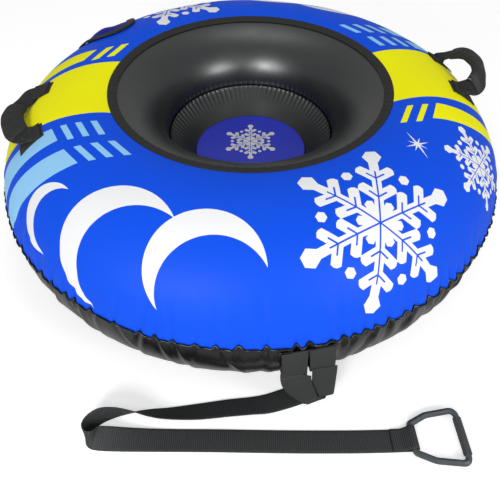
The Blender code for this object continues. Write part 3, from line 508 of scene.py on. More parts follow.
def split_xyz(tree, place):
    """The X, Y and Z of a vector socket."""
    parts = tree.nodes.new("ShaderNodeSeparateXYZ")
    tree.links.new(place, parts.inputs[0])
    return [Signal(tree, socket) for socket in parts.outputs]


def attribute(tree, name):
    """The X, Y and Z of a mesh's own vector attribute."""
    node = tree.nodes.new("ShaderNodeAttribute")
    node.attribute_name = name
    return split_xyz(tree, node.outputs["Vector"])


def object_place(tree):
    """The place on the object in metres, as a socket."""
    return tree.nodes.new("ShaderNodeTexCoord").outputs["Object"]


def noise(tree, scale, detail=2.0):
    """Noise from 0 to 1 over the object."""
    node = tree.nodes.new("ShaderNodeTexNoise")
    node.inputs["Scale"].default_value = scale
    node.inputs["Detail"].default_value = detail
    tree.links.new(object_place(tree), node.inputs["Vector"])
    return Signal(tree, node.outputs["Fac"])


def spread(signal, low, high, new_low=0.0, new_high=1.0):
    """A number moved from one range to another, held at its ends."""
    tree = signal.tree
    node = tree.nodes.new("ShaderNodeMapRange")
    tree.links.new(signal.socket, node.inputs["Value"])
    for slot, value in zip(("From Min", "From Max", "To Min", "To Max"), (low, high, new_low, new_high)):
        node.inputs[slot].default_value = value
    return Signal(tree, node.outputs["Result"])


def paint(tree, under, over, mask):
    """One colour over another where a mask is 1. Each is a colour or a socket."""
    node = tree.nodes.new("ShaderNodeMix")
    node.data_type = "RGBA"
    for slot, value in ((node.inputs[6], under), (node.inputs[7], over)):
        if isinstance(value, tuple):
            slot.default_value = (*value, 1.0)
        else:
            tree.links.new(value, slot)
    tree.links.new(mask.socket, node.inputs[0])
    return node.outputs[2]


def bump(tree, shader, height, distance, strength, under=None):
    """Relief on a shader from a height signal, over another bump's normal if given."""
    node = tree.nodes.new("ShaderNodeBump")
    node.inputs["Distance"].default_value = distance
    node.inputs["Strength"].default_value = strength
    tree.links.new(height.socket, node.inputs["Height"])
    if under:
        tree.links.new(under, node.inputs["Normal"])
    tree.links.new(node.outputs["Normal"], shader.inputs["Normal"])
    return node.outputs["Normal"]


def set_inputs(shader, **values):
    """Constant inputs of a shader, words joined by _."""
    for name, value in values.items():
        slot = shader.inputs[name.replace("_", " ")]
        slot.default_value = (*value, 1.0) if isinstance(value, tuple) else value


# Printed shapes, in the plane of the flattened cover


def over_line(x, y, start, end):
    """Metres to the left of a line from start to end."""
    along = Vector((end[0] - start[0], end[1] - start[1])).normalized()
    offset = start[0] * along.y - start[1] * along.x
    return y * along.x - x * along.y + offset


def any_of(masks):
    """1 where one mask of a list is 1."""
    joined = masks[0]
    for mask in masks[1:]:
        joined = joined.either(mask)
    return joined


def row_of_bars(x, y, corner, step, slant, width_share, count):
    """Slanted bars: a corner, the step to the next bar and the slant from end to end of one bar."""
    across = step[0] * slant[1] - step[1] * slant[0]
    moved_x = x - corner[0]
    moved_y = y - corner[1]
    along = (moved_x * slant[1] - moved_y * slant[0]) / across
    down = (moved_y * step[0] - moved_x * step[1]) / across
    inside_row = along.above(0.0) * along.below(float(count)) * down.above(0.0) * down.below(1.0)
    return inside_row * along.math("FRACT").below(width_share)


def snowflake(x, y, centre, size, tilt):
    """1 inside a six-armed snowflake with split branches, tips and dots. size is its radius in metres."""
    moved_x = (x - centre[0]) / size
    moved_y = (y - centre[1]) / size
    radius = (moved_x * moved_x + moved_y * moved_y).math("SQRT")
    turn = moved_y.math("ARCTAN2", moved_x) - math.radians(tilt)
    sixth = math.radians(60.0)
    # The turn within half an arm's sector, from 0 on the arm to 30 degrees between two arms
    fold = turn.math("WRAP", sixth / 2, -sixth / 2).size()
    along = radius * fold.math("COSINE")
    aside = radius * fold.math("SINE")
    shapes = [aside.below(ARM_HALF_WIDTH) * along.below(ARM_LENGTH)]
    grooves = [aside.below(ARM_GROOVE[1]) * along.below(ARM_GROOVE[0])]
    slope = math.radians(BRANCH_SLOPE)
    for root in BRANCH_ROOTS:
        start = along - root
        out = start * math.cos(slope) + aside * math.sin(slope)
        off = (aside * math.cos(slope) - start * math.sin(slope)).size()
        branch = off.below(BRANCH_HALF_WIDTH) * out.below(BRANCH_LENGTH) * out.above(BRANCH_START)
        shapes.append(branch * (out + off * BRANCH_BLUNTNESS).below(BRANCH_TIP))
        grooves.append(off.below(BRANCH_GROOVE[1]) * out.below(BRANCH_GROOVE[0]) * out.above(0.0))
    # A hexagon at the arm's end, then a lobe, a heart and a dot between the arms
    tip_x = (along - TIP_PLACE).size()
    shapes.append(tip_x.below(TIP_SIZE) * (tip_x * HEXAGON[0] + aside * HEXAGON[1]).below(TIP_SIZE))
    between = (fold - sixth / 2).size()
    middle = radius * between.math("COSINE")
    beside = radius * between.math("SINE")
    shapes.append(beside.below(LOBE_HALF_WIDTH) * (middle + beside * LOBE_BLUNTNESS).below(LOBE_LENGTH))
    shapes.append((middle + beside * HEART_BLUNTNESS).below(HEART_LENGTH))
    dot_x = (middle - DOT_PLACE).size()
    dot = (dot_x * HEXAGON[1] + beside * HEXAGON[0]).below(DOT_SIZE) * beside.below(DOT_SIZE)
    return (any_of(shapes) * any_of(grooves).inverse()).either(dot)


def star(x, y, centre, size):
    """1 inside an eight-rayed sparkle with a long slanted ray."""
    moved_x = (x - centre[0]) / size
    moved_y = (y - centre[1]) / size
    rays = []
    for tilt, reach in STAR_RAYS:
        turn = math.radians(tilt)
        along = (moved_x * math.cos(turn) + moved_y * math.sin(turn)).size()
        aside = (moved_y * math.cos(turn) - moved_x * math.sin(turn)).size()
        rays.append((aside * STAR_SHARPNESS + along * (1.0 / reach)).below(1.0))
    return any_of(rays)


def crescent(x, y, centre, radius, bite):
    """1 inside a circle and outside the one that bites into it."""
    moved_x = x - centre[0]
    moved_y = y - centre[1]
    bitten_x = moved_x - bite[0] * radius
    bitten_y = moved_y - bite[1] * radius
    full = (moved_x * moved_x + moved_y * moved_y).below(radius ** 2)
    return full * (bitten_x * bitten_x + bitten_y * bitten_y).above((radius * BITE_SHARE) ** 2)


def strip_between(x, y, low, high):
    """1 between two edges, each a slope and a height."""
    over = (y - x * low[0]).above(low[1])
    under = (y - x * high[0]).below(high[1])
    return over * under


def stripe(x, y, low, high, start, end):
    """The part of a strip to the left of a line from start to end."""
    return strip_between(x, y, low, high) * over_line(x, y, start, end).above(0.0)


def printed_colour(tree):
    """The cover's print as a colour socket, from the place in the flattened cover."""
    x, y, _ = attribute(tree, "print_place")
    left = x.below(0.0)
    right = left.inverse()
    turned_x = x * -1.0
    turned_y = y * -1.0

    yellow = [strip_between(x, y, *LEFT_BAND) * left, strip_between(x, y, *RIGHT_BAND) * right,
              stripe(x, y, *LEFT_STRIPE) * left, stripe(x, y, *RIGHT_STRIPE) * right]
    yellow += [row_of_bars(x, y, *bars) for bars in YELLOW_BARS]

    # The light blue bars and stripes on the left, and the same turned half round on the right
    pale = []
    for side, across, along in ((left, x, y), (right, turned_x + PALE_SHIFT[0], turned_y + PALE_SHIFT[1])):
        shapes = [row_of_bars(across, along, *bars) for bars in PALE_BARS]
        shapes += [stripe(across, along, *lines) for lines in PALE_STRIPES]
        pale.append(any_of(shapes) * side)

    white = [snowflake(x, y, *SIDE_FLAKE), star(x, y, *STAR)]
    for across, along in ((x, y), (turned_x, turned_y)):
        white.append(snowflake(across, along, *FRONT_FLAKE))
        white += [crescent(across, along, *shape) for shape in CRESCENTS]

    colour = paint(tree, BLUE, YELLOW, any_of(yellow))
    colour = paint(tree, colour, LIGHT_BLUE, any_of(pale))
    return paint(tree, colour, WHITE, any_of(white))


# Materials


def mottle(tree, shader, colour, scale, dark_share, low):
    """A base colour that wanders down to a darker share of itself. low is the noise where it is darkest."""
    dark = tuple(channel * dark_share for channel in colour)
    tone = spread(noise(tree, scale, 3.0), low, 1.0 - low)
    tree.links.new(paint(tree, dark, colour, tone), shader.inputs["Base Color"])


def printed_cloth():
    """Satin polyester with the print on it."""
    material, tree, shader = new_material("printed_cloth")
    tree.links.new(printed_colour(tree), shader.inputs["Base Color"])
    slubs = noise(tree, 90.0, 3.0)
    rough = spread(slubs, 0.3, 0.7, 0.46, 0.54)
    tree.links.new(rough.socket, shader.inputs["Roughness"])
    set_inputs(shader, Specular_IOR_Level=0.07)
    under = bump(tree, shader, slubs, 0.0004, 0.35)
    bump(tree, shader, noise(tree, 1400.0, 1.0), 0.0002, 0.25, under)
    return material


def plain_cloth(name, colour, roughness, weave_scale=1400.0, relief=0.4, shine=0.25):
    """A plain woven tape or cloth."""
    material, tree, shader = new_material(name)
    mottle(tree, shader, colour, 260.0, 0.75, 0.3)
    set_inputs(shader, Roughness=roughness, Specular_IOR_Level=shine)
    bump(tree, shader, noise(tree, weave_scale, 1.0), 0.0003, relief)
    return material


def vinyl(name, colour, roughness, coat, shine):
    """Soft black vinyl."""
    material, tree, shader = new_material(name)
    mottle(tree, shader, colour, 14.0, 0.8, 0.35)
    rough = spread(noise(tree, 32.0, 4.0), 0.3, 0.7, roughness * 0.9, roughness * 1.12)
    tree.links.new(rough.socket, shader.inputs["Roughness"])
    set_inputs(shader, Coat_Weight=coat, Coat_Roughness=0.34, Specular_IOR_Level=shine)
    bump(tree, shader, noise(tree, 900.0), 0.00006, 0.25)
    return material


def stitch_lines(along, across):
    """1 on the dashed lines of a box with a cross in it."""
    long_share = along / STITCH_HALF_LENGTH
    wide_share = across / STITCH_HALF_WIDTH
    edge = long_share.size().either(wide_share.size())
    box = (edge - 1.0).size().below(STITCH_BOX_LINE)
    crossing = (long_share.size() - wide_share.size()).size().below(STITCH_CROSS_LINE) * edge.below(1.0)
    dashes = ((along + across) * STITCHES_PER_METRE).math("FRACT").below(STITCH_SHARE)
    return box.either(crossing) * dashes


def webbing(name, colour, rib, stitched=False):
    """Woven strap with ribs across it, whose colour carries painted shade between the ribs and a painted
    highlight on them. rib is the distance between two ribs.
    """
    material, tree, shader = new_material(name)
    along, across, _ = attribute(tree, "weave_place")
    turn = 2.0 * math.pi
    ribs = (along * (turn / rib)).math("SINE")
    threads = (across * (turn / (rib * 0.55))).math("SINE")
    pattern = ribs * 0.35 + threads * ribs * 0.15 + 0.5
    # Painted shade in the valleys between ribs and a painted highlight on their tops, from the same pattern
    # as the relief
    tone = spread(pattern, 0.1, 0.9, 0.0, 1.0)
    dark = tuple(channel * 0.40 for channel in colour)
    light = tuple(channel * 1.50 for channel in colour)
    weave_with_painted_shade = paint(tree, dark, light, tone)
    if stitched:
        lines = stitch_lines(along, across)
        weave_with_painted_shade = paint(tree, weave_with_painted_shade, THREAD, lines)
        pattern = pattern * lines.inverse() + lines * 1.6
    tree.links.new(weave_with_painted_shade, shader.inputs["Base Color"])
    set_inputs(shader, Roughness=0.72, Specular_IOR_Level=0.3)
    bump(tree, shader, pattern, 0.0007, 0.8)
    return material


def moulded(name, colour, roughness, ribs=0.0):
    """Moulded plastic with a fine grain, and with small raised diamonds at a distance of ribs where asked."""
    material, tree, shader = new_material(name)
    mottle(tree, shader, colour, 60.0, 0.85, 0.35)
    set_inputs(shader, Roughness=roughness)
    under = None
    if ribs:
        x, y, z = split_xyz(tree, object_place(tree))
        pitch = 2.0 * math.pi / ribs
        diamonds = ((x + y) * pitch).math("SINE") * ((x - y + z) * pitch).math("SINE")
        under = bump(tree, shader, diamonds, 0.0005, 0.8)
    bump(tree, shader, noise(tree, 1500.0), 0.00008, 0.3, under)
    return material


def disc_print():
    """The seat disc's print: a plain snowflake over two bars, with painted shade of the groove on its rolled
    edge.
    """
    material, tree, shader = new_material("disc_ink")
    x, y, _ = split_xyz(tree, object_place(tree))
    radius = (x * x + y * y).math("SQRT")
    in_reach = x.size().below(DISC_BAR_HALF_LENGTH)
    thick, thin = (in_reach * y.above(low) * y.below(high) for low, high in (DISC_THICK_BAR, DISC_THIN_BAR))
    colour = paint(tree, DISC_BLUE, WHITE, snowflake(x, y, *DISC_FLAKE).either(thick))
    colour = paint(tree, colour, DISC_PALE_INK, thin)
    # Painted shade of the groove round the disc, near black on its rolled edge
    colour = paint(tree, colour, DISC_GROOVE_SHADE, radius.above(DISC_GROOVE_SHADE_RADIUS))
    tree.links.new(colour, shader.inputs["Base Color"])
    set_inputs(shader, Roughness=0.38)
    bump(tree, shader, noise(tree, 700.0), 0.0001, 0.2)
    return material


PRINTED = printed_cloth()
# The valve flap's cloth is a plain blue darker than the cover's: painted shade, where it faces away from the
# light
SHADED_FLAP_CLOTH = plain_cloth("flap_cloth", (0.006, 0.012, 0.30), 0.5, relief=0.2, shine=0.1)
BOTTOM_VINYL = vinyl("bottom_vinyl", (0.0045, 0.0048, 0.0042), 0.24, coat=0.0, shine=0.22)
BOWL_VINYL = vinyl("bowl_vinyl", (0.009, 0.011, 0.012), 0.37, coat=0.5, shine=0.6)
TAPE = plain_cloth("tape", (0.020, 0.020, 0.018), 0.55)
SEAM_TAPE = vinyl("seam_tape", (0.003, 0.003, 0.003), 0.25, coat=0.0, shine=0.35)
SLEEVE_CLOTH = plain_cloth("sleeve_cloth", (0.024, 0.025, 0.025), 0.62)
STRAP_WEBBING = webbing("strap_webbing", (0.027, 0.030, 0.031), rib=0.0034)
HANDLE_WEBBING = webbing("handle_webbing", (0.020, 0.021, 0.021), rib=0.0028)
PATCH_WEBBING = webbing("patch_webbing", (0.022, 0.023, 0.023), rib=0.0024, stitched=True)
DISC_INK = disc_print()
FOAM = plain_cloth("foam", (0.30, 0.30, 0.30), 0.9, weave_scale=500.0, relief=0.8)
VALVE_PLASTIC = moulded("valve_plastic", (0.03, 0.03, 0.03), 0.4)
VALVE_RUBBER = moulded("valve_rubber", (0.08, 0.08, 0.08), 0.6)
ROD_PLASTIC = moulded("rod_plastic", (0.055, 0.065, 0.072), 0.30)
GRIP_RUBBER = moulded("grip_rubber", (0.035, 0.038, 0.042), 0.60, ribs=0.0045)


# Mesh helpers


def add_mesh(name, points, faces, material, vectors=None, sharp=None):
    """A smooth mesh piece. vectors holds vector attributes by name."""
    mesh = bpy.data.meshes.new(name)
    mesh.from_pydata(np.asarray(points).reshape(-1, 3).tolist(), [], faces)
    mesh.shade_smooth()
    if sharp:
        mesh.set_sharp_from_angle(angle=math.radians(sharp))
    for key, values in (vectors or {}).items():
        layer = mesh.attributes.new(key, "FLOAT_VECTOR", "POINT")
        layer.data.foreach_set("vector", np.asarray(values, dtype=np.float32).reshape(-1))
    mesh.materials.append(material)
    piece = bpy.data.objects.new(name, mesh)
    bpy.context.scene.collection.objects.link(piece)
    return piece


def stand_for(piece, body, node):
    """Carry a piece on a body, in place of a CAD node."""
    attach(piece, body)
    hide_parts(node)


def grid_faces(rows, columns, closed=False, flip=False):
    """Quads between the rows of a grid, whose columns may close into a ring."""
    faces = []
    last = columns if closed else columns - 1
    for row in range(rows - 1):
        base = row * columns
        for column in range(last):
            beside = (column + 1) % columns
            face = (base + column, base + beside, base + columns + beside, base + columns + column)
            faces.append(face[::-1] if flip else face)
    return faces


def azimuths(count):
    """Even azimuths once round the ring, in degrees."""
    return np.arange(count) * 360.0 / count


def graded(start, stretches):
    """Numbers from a start on, by each stretch's end and number of even steps."""
    numbers = [start]
    for end, steps in stretches:
        numbers.extend(np.linspace(numbers[-1], end, steps + 1)[1:])
    return np.array(numbers)


def ripple(turns, height, count, start=0.0):
    """Even waves round the ring: height, number and where they start in degrees."""
    return height * np.sin(np.radians(turns * count + start))


def round_points(turn, radius, height):
    """Points at azimuths in degrees, radii and heights."""
    turn = np.radians(np.asarray(turn, dtype=float))
    radius, height, turn = np.broadcast_arrays(radius, height, turn)
    return np.stack((radius * np.cos(turn), radius * np.sin(turn), height), axis=-1)


def section(angle, lift=0.0):
    """Radius and height on the tube's section for angles in degrees, lifted off its skin."""
    angle = np.asarray(angle, dtype=float)
    inner = angle > 90.0
    lower = angle < 0.0
    centre_radius = np.where(lower, BASE_RADIUS, CROWN_RADIUS)
    centre_height = np.where(inner, CREASE_HEIGHT, EQUATOR_HEIGHT)
    reach_out = np.where(inner, CROWN_RADIUS - CREASE_RADIUS, TUBE_RADIUS - centre_radius)
    upper_reach = np.where(inner, CROWN_HEIGHT - CREASE_HEIGHT, CROWN_HEIGHT - EQUATOR_HEIGHT)
    reach_up = np.where(lower, EQUATOR_HEIGHT, upper_reach)
    across = np.cos(np.radians(angle))
    upward = np.sin(np.radians(angle))
    length = np.hypot(across / reach_out, upward / reach_up)
    radius = centre_radius + reach_out * across + across / reach_out / length * lift
    height = centre_height + reach_up * upward + upward / reach_up / length * lift
    return radius, height


def ring_points(turn, angle, lift=0.0):
    """Points over the tube's skin for grids of azimuths and section angles."""
    return round_points(turn, *section(angle, lift))


def metres_per_degree(angle):
    """How far a degree of section angle goes uphill on the skin."""
    return float(np.linalg.norm(ring_points(0.0, angle + 1.0) - ring_points(0.0, angle)))


def skin(turn, angle, lift=0.0):
    """One point over the skin, as a Vector."""
    return Vector(ring_points(turn, angle, lift))


def make_flat_table():
    """The flattened radius of the cover against the section angle: arc length from the crown."""
    angles = np.linspace(-90.0, 180.0, 2701)
    radius, height = section(angles)
    steps = np.hypot(np.diff(radius), np.diff(height))
    along = np.concatenate(([0.0], np.cumsum(steps)))
    crown = np.interp(90.0, angles, along)
    return angles, CROWN_RADIUS + crown - along


FLAT_ANGLES, FLAT_RADII = make_flat_table()


def flat_place(turn, angle):
    """Where points of the cover lie when it is flattened, which the print is drawn on."""
    return round_points(turn, np.interp(angle, FLAT_ANGLES, FLAT_RADII), 0.0)


# Gathers at the seam


def make_folds():
    """The folds that run up and down from the seam: azimuth, strength, width, reach and slant."""
    draw = random.Random(FOLD_SEED)
    folds = []
    turn = 1.0
    while turn < 359.0:
        front_right = math.exp(-((turn - FOLD_CENTRE) / FOLD_CENTRE_SPREAD) ** 2)
        strength = draw.uniform(*FOLD_STRENGTHS)
        strength += FOLD_CENTRE_STRENGTH * front_right * draw.uniform(*FOLD_CENTRE_SHARES)
        width, reach, slant = (draw.uniform(*limits) for limits in (FOLD_WIDTHS, FOLD_REACHES, FOLD_SLANTS))
        folds.append((turn, strength, width, reach, slant))
        turn += draw.uniform(*FOLD_STEPS) * (1.0 - FOLD_CENTRE_CROWDING * front_right)
    return folds


FOLDS = make_folds()


def turn_apart(turn, other):
    """Degrees from one azimuth to another, from -180 to 180."""
    return (turn - other + 180.0) % 360.0 - 180.0


def seam_angle(turn):
    """The seam's section angle round the ring: it rises to a low cusp at each fold."""
    rise = np.zeros_like(turn)
    for place, strength, width, _, _ in FOLDS:
        apart = turn_apart(turn, place)
        flank = np.where(apart > 0.0, SCALLOP_FLANKS[0] * width, SCALLOP_FLANKS[1] * width)
        near = np.clip(1.0 - np.abs(apart) / flank, 0.0, 1.0)
        rise = np.maximum(rise, SCALLOP_RISE * strength * near ** SCALLOP_SHARPNESS)
    return SEAM_ANGLE + rise + ripple(turn, *SEAM_WAVE)


def swell(turn, angle):
    """The inflated cloth's slow unevenness, in metres."""
    total = 0.0
    for height, *waves in SWELLS:
        first, second = (np.sin(np.radians(turn * along + angle * up + start)) for along, up, start in waves)
        total = total + height * first * second
    return total


def upper_lift(turn, angle, seam):
    """How far the printed cloth stands off the plain section."""
    valley, ridge = UPPER_FOLD
    above = np.clip(angle - seam, 0.0, 90.0)
    lift = swell(turn, angle) * np.clip(above / 20.0, 0.0, 1.0)
    lift = lift * np.clip((RIM_ANGLE - angle) / 20.0, 0.0, 1.0)
    for place, strength, width, reach, slant in FOLDS:
        apart = turn_apart(turn, place + slant * above)
        widened = width * (UPPER_VALLEY[0] + UPPER_VALLEY[1] * np.clip(above / reach, 0.0, 1.0))
        fade = strength * np.clip(1.0 - above / reach, 0.0, 1.0) ** UPPER_FADE
        lift = lift - valley * fade * np.exp(-(apart / widened) ** 2)
        lift = lift + ridge * fade * np.exp(-((np.abs(apart) - RIDGE_DISTANCE * widened) / widened) ** 2)
    return lift


def lower_lift(turn, angle, seam):
    """How far the slick shell stands off the plain section: sharp slanted folds from the seam down."""
    valley, ridge = LOWER_FOLD
    below = np.clip(seam - angle, 0.0, 110.0)
    lift = np.zeros(np.broadcast(turn, angle).shape)
    for index, (place, strength, width, reach, _) in enumerate(FOLDS):
        lean = LOWER_LEAN * math.sin(index * 2.4)
        apart = turn_apart(turn, place + lean * below)
        widened = LOWER_VALLEY[0] * width * (1.0 + below / LOWER_VALLEY[1])
        fade = strength * np.clip(1.0 - below / (LOWER_EXTRA_REACH + reach), 0.0, 1.0)
        # A sharp valley beside a rounded ridge
        lift = lift - valley * fade * np.exp(-np.abs(apart) / widened)
        lift = lift + ridge * fade * np.exp(-((apart - RIDGE_DISTANCE * widened) / widened) ** 2)
    settle = np.clip((angle + BASE_START) / BASE_FADE, 0.0, 1.0)
    return lift * settle


# Covers


def build_upper_cover():
    """The printed cloth over the ring, with its gathers and the hole over the valve."""
    turns = azimuths(COVER_COLUMNS)
    seam = seam_angle(turns)
    top = RIM_ANGLE - RIM_CLOTH_OVERLAP
    angle = top + (seam - top) * graded(0.0, UPPER_ROWS)[:, None]
    turn = np.broadcast_to(turns, angle.shape)
    points = ring_points(turn, angle, upper_lift(turn, angle, seam))
    tucked = points[-1:].copy()
    tucked[..., 2] -= COVER_TUCK_DROP
    tucked[..., :2] *= COVER_TUCK_SHARE
    points = np.concatenate((points, tucked))
    flat = flat_place(turn, angle)
    flat = np.concatenate((flat, flat[-1:]))
    faces = grid_faces(len(points), COVER_COLUMNS, closed=True, flip=True)
    valve = np.array(skin(VALVE_TURN, VALVE_ANGLE))
    near = np.linalg.norm(points.reshape(-1, 3) - valve, axis=1) < COVER_HOLE_RADIUS
    faces = [face for face in faces if not any(near[corner] for corner in face)]
    cover = add_mesh("cover_upper", points, faces, PRINTED, {"print_place": flat})
    stand_for(cover, "root", "top_cover")


def build_lower_cover():
    """The slick black shell under the ring, gathered at the seam and flat where it rests."""
    turns = azimuths(COVER_COLUMNS)
    seam = seam_angle(turns)
    angle = seam + (-90.0 - seam) * graded(0.0, LOWER_ROWS)[:, None]
    turn = np.broadcast_to(turns, angle.shape)
    points = ring_points(turn, angle, lower_lift(turn, angle, seam))
    inner = []
    for share in UNDERSIDE_SHARES:
        ring = points[-1].copy()
        ring[:, :2] *= share
        inner.append(ring)
    points = np.concatenate((points, np.array(inner)))
    points[..., 2] = np.maximum(points[..., 2], FLOOR_GAP)
    faces = grid_faces(len(points), COVER_COLUMNS, closed=True, flip=True)
    last = (len(points) - 1) * COVER_COLUMNS
    faces.append(tuple(range(last + COVER_COLUMNS - 1, last - 1, -1)))
    shell = add_mesh("cover_lower", points, faces, BOTTOM_VINYL)
    stand_for(shell, "root", "bottom_cover")


def build_seam_tape():
    """The piped tape that follows the seam between the two covers."""
    turns = azimuths(COVER_COLUMNS)
    seam = seam_angle(turns)
    lift = upper_lift(turns, seam, seam)
    rows = []
    for side in range(PIPING_SIDES):
        around = 2.0 * math.pi * side / PIPING_SIDES
        points = ring_points(turns, seam, lift + PIPING_REACH * (1.0 + math.cos(around)))
        points[:, 2] += PIPING_RISE * math.sin(around) - PIPING_DROP
        rows.append(points)
    faces = grid_faces(PIPING_SIDES, COVER_COLUMNS, closed=True, flip=True)
    top = (PIPING_SIDES - 1) * COVER_COLUMNS
    for column in range(COVER_COLUMNS):
        beside = (column + 1) % COVER_COLUMNS
        faces.append((column, beside, top + beside, top + column))
    tape = add_mesh("seam_piping", rows, faces, SEAM_TAPE)
    stand_for(tape, "root", "seam_binding")


def build_rim_tape():
    """The tape bound round the opening, with the elastic's fine gathers."""
    turns = azimuths(SEAT_COLUMNS * 2)
    wave = sum(ripple(turns, *gather) for gather in RIM_GATHERS)
    rows = []
    for share, lift in RIM_TAPE_PROFILE:
        angle = RIM_ANGLE - RIM_TAPE_OVERLAP + RIM_BINDING_SPAN * share
        rows.append(ring_points(turns, angle, lift + wave * (0.3 + share)))
    faces = grid_faces(len(rows), len(turns), closed=True)
    tape = add_mesh("rim_tape", rows, faces, TAPE, sharp=60)
    stand_for(tape, "root", "rim_binding")


# Bladder and seat


def build_bowl():
    """The bladder's upper half, down its inner wall to the weld at the crease."""
    turns = azimuths(SEAT_COLUMNS)
    rows = []
    for angle in graded(180.0, BOWL_ANGLES):
        past_weld = 180.0 - angle
        weld = WELD_RISE * math.exp(-(past_weld / WELD_ANGLE) ** 2)
        fade = math.exp(-(past_weld / BLADDER_PUCKER_ANGLE) ** 2)
        under_folds = BLADDER_CLEARANCE * min(1.0, max(0.0, (CLEARANCE_START - angle) / CLEARANCE_SPAN))
        depth = BLADDER_DEPTH + under_folds - weld
        rows.append(ring_points(turns, angle, ripple(turns, BLADDER_PUCKER_DEPTH, PUCKERS) * fade - depth))
    faces = grid_faces(len(rows), SEAT_COLUMNS, closed=True)
    bowl = add_mesh("bladder_skin", rows, faces, BOWL_VINYL)
    stand_for(bowl, "root", "bladder_upper")


def build_membrane():
    """The seat's floor of vinyl, ribbed where it is welded to the bladder."""
    turns = azimuths(SEAT_COLUMNS)
    run = MEMBRANE_EDGE_RADIUS - DISC_RADIUS
    slope = (CREASE_HEIGHT - DISC_HEIGHT) / run
    valleys = np.abs(ripple(turns, 1.0, PUCKERS / 2)) ** 0.7
    ribs = PUCKER_RISE + ripple(turns, *PUCKER_SWELL) - PUCKER_DEPTH * valleys
    rows = []
    for step in range(MEMBRANE_ROWS + 1):
        inset = (run + MEMBRANE_TUCK) * step / MEMBRANE_ROWS
        radius = MEMBRANE_EDGE_RADIUS - inset
        height = DISC_HEIGHT - MEMBRANE_SINK + max(radius - DISC_RADIUS, 0.0) * slope
        fade = max(0.0, 1.0 - inset / PUCKER_LENGTH) ** 0.7 * min(1.0, 0.35 + inset / PUCKER_START)
        rows.append(round_points(turns, radius, height + ribs * fade))
    faces = grid_faces(len(rows), SEAT_COLUMNS, closed=True)
    floor = add_mesh("seat_floor", rows, faces, BOWL_VINYL)
    stand_for(floor, "root", "seat_membrane")


def build_disc():
    """The printed disc, with a rolled edge."""
    turns = azimuths(DISC_COLUMNS)
    rows = [round_points(turns, radius, DISC_HEIGHT + lift) for radius, lift in DISC_PROFILE]
    points = np.concatenate(rows + [[(0.0, 0.0, DISC_HEIGHT)]])
    faces = grid_faces(len(rows), DISC_COLUMNS, closed=True, flip=True)
    faces += [(column, (column + 1) % DISC_COLUMNS, len(points) - 1) for column in range(DISC_COLUMNS)]
    disc = add_mesh("seat_print", points, faces, DISC_INK)
    stand_for(disc, "root", "seat_disc")


build_upper_cover()
build_lower_cover()
build_seam_tape()
build_rim_tape()
build_bowl()
build_membrane()
build_disc()


# Strips of webbing


def smooth_route(points, steps):
    """Points on a smooth curve through a route's own points."""
    ends = [points[0]] + list(points) + [points[-1]]
    route = []
    for index in range(len(points) - 1):
        before, start, finish, after = (Vector(ends[index + offset]) for offset in range(4))
        for step in range(steps):
            share = step / steps
            bend = (2 * before - 5 * start + 4 * finish - after) * share ** 2
            twist = (3 * start - before - 3 * finish + after) * share ** 3
            route.append((2 * start + (finish - before) * share + bend + twist) / 2)
    route.append(Vector(points[-1]))
    return route


def headings(route):
    """The way a route goes at each of its points."""
    return [beyond - before for before, beyond in zip(route[:1] + route[:-1], route[1:] + route[-1:])]


def smooth_numbers(numbers, steps):
    """Numbers along a route, smoothed as its points are."""
    return [place.x for place in smooth_route([(number, 0.0, 0.0) for number in numbers], steps)]


def ribbon_outline(width, thickness, columns=9):
    """Cross-section of a strap: two faces with columns points each and rolled edges."""
    half = width / 2
    edge = thickness * 0.45
    corner = half - edge * 0.3
    one_side = [(across, thickness / 2) for across in np.linspace(half - edge, edge - half, columns)]
    one_side += [(-corner, thickness * 0.3), (-half, 0.0), (-corner, -thickness * 0.3)]
    return one_side + [(-across, -up) for across, up in one_side]


def loft(name, centres, widths, outline, material, scale=None):
    """An outline carried along centres with its first axis along widths, and closed at both ends."""
    count = len(outline)
    points = []
    weave = []
    along = 0.0
    for index, heading in enumerate(headings(centres)):
        centre = centres[index]
        heading.normalize()
        width = widths[index] - heading * widths[index].dot(heading)
        width.normalize()
        rise = heading.cross(width)
        if index:
            along += (centre - centres[index - 1]).length
        wide, high = scale[index] if scale else (1.0, 1.0)
        for across, up in outline:
            points.append(tuple(centre + width * across * wide + rise * up * high))
            weave.append((along, across * wide, 0.0))
    faces = []
    for index in range(len(centres) - 1):
        for corner in range(count):
            here = index * count + corner
            beside = index * count + (corner + 1) % count
            faces.append((here, here + count, beside + count, beside))
    faces.append(tuple(range(count)))
    last = (len(centres) - 1) * count
    faces.append(tuple(range(last + count - 1, last - 1, -1)))
    return add_mesh(name, points, faces, material, {"weave_place": weave})


def strap_rings():
    """Centres and width directions along the tow strap."""
    route = smooth_route(STRAP_ROUTE, STRAP_STEPS)
    centres = []
    widths = []
    for (across, forward, lean), heading in zip(route, headings(route)):
        ahead = Vector((heading.x, heading.y, 0.0)).normalized()
        tilt = math.radians(lean)
        width = Vector((-ahead.y, ahead.x, 0.0)) * math.cos(tilt) + UP * math.sin(tilt)
        widths.append(width)
        centres.append(Vector((across, forward, STRAP_THICKNESS / 2 + FLOOR_GAP)) + width * STRAP_WIDTH / 2)
    return centres, widths


def build_strap():
    """The flat strap on the ground, its centres and its length."""
    centres, widths = strap_rings()
    outline = ribbon_outline(STRAP_WIDTH, STRAP_THICKNESS)
    strap = loft("strap_band", centres, widths, outline, STRAP_WEBBING)
    stand_for(strap, "root", "tow_strap")
    return strap, centres, sum((beyond - here).length for here, beyond in zip(centres, centres[1:]))


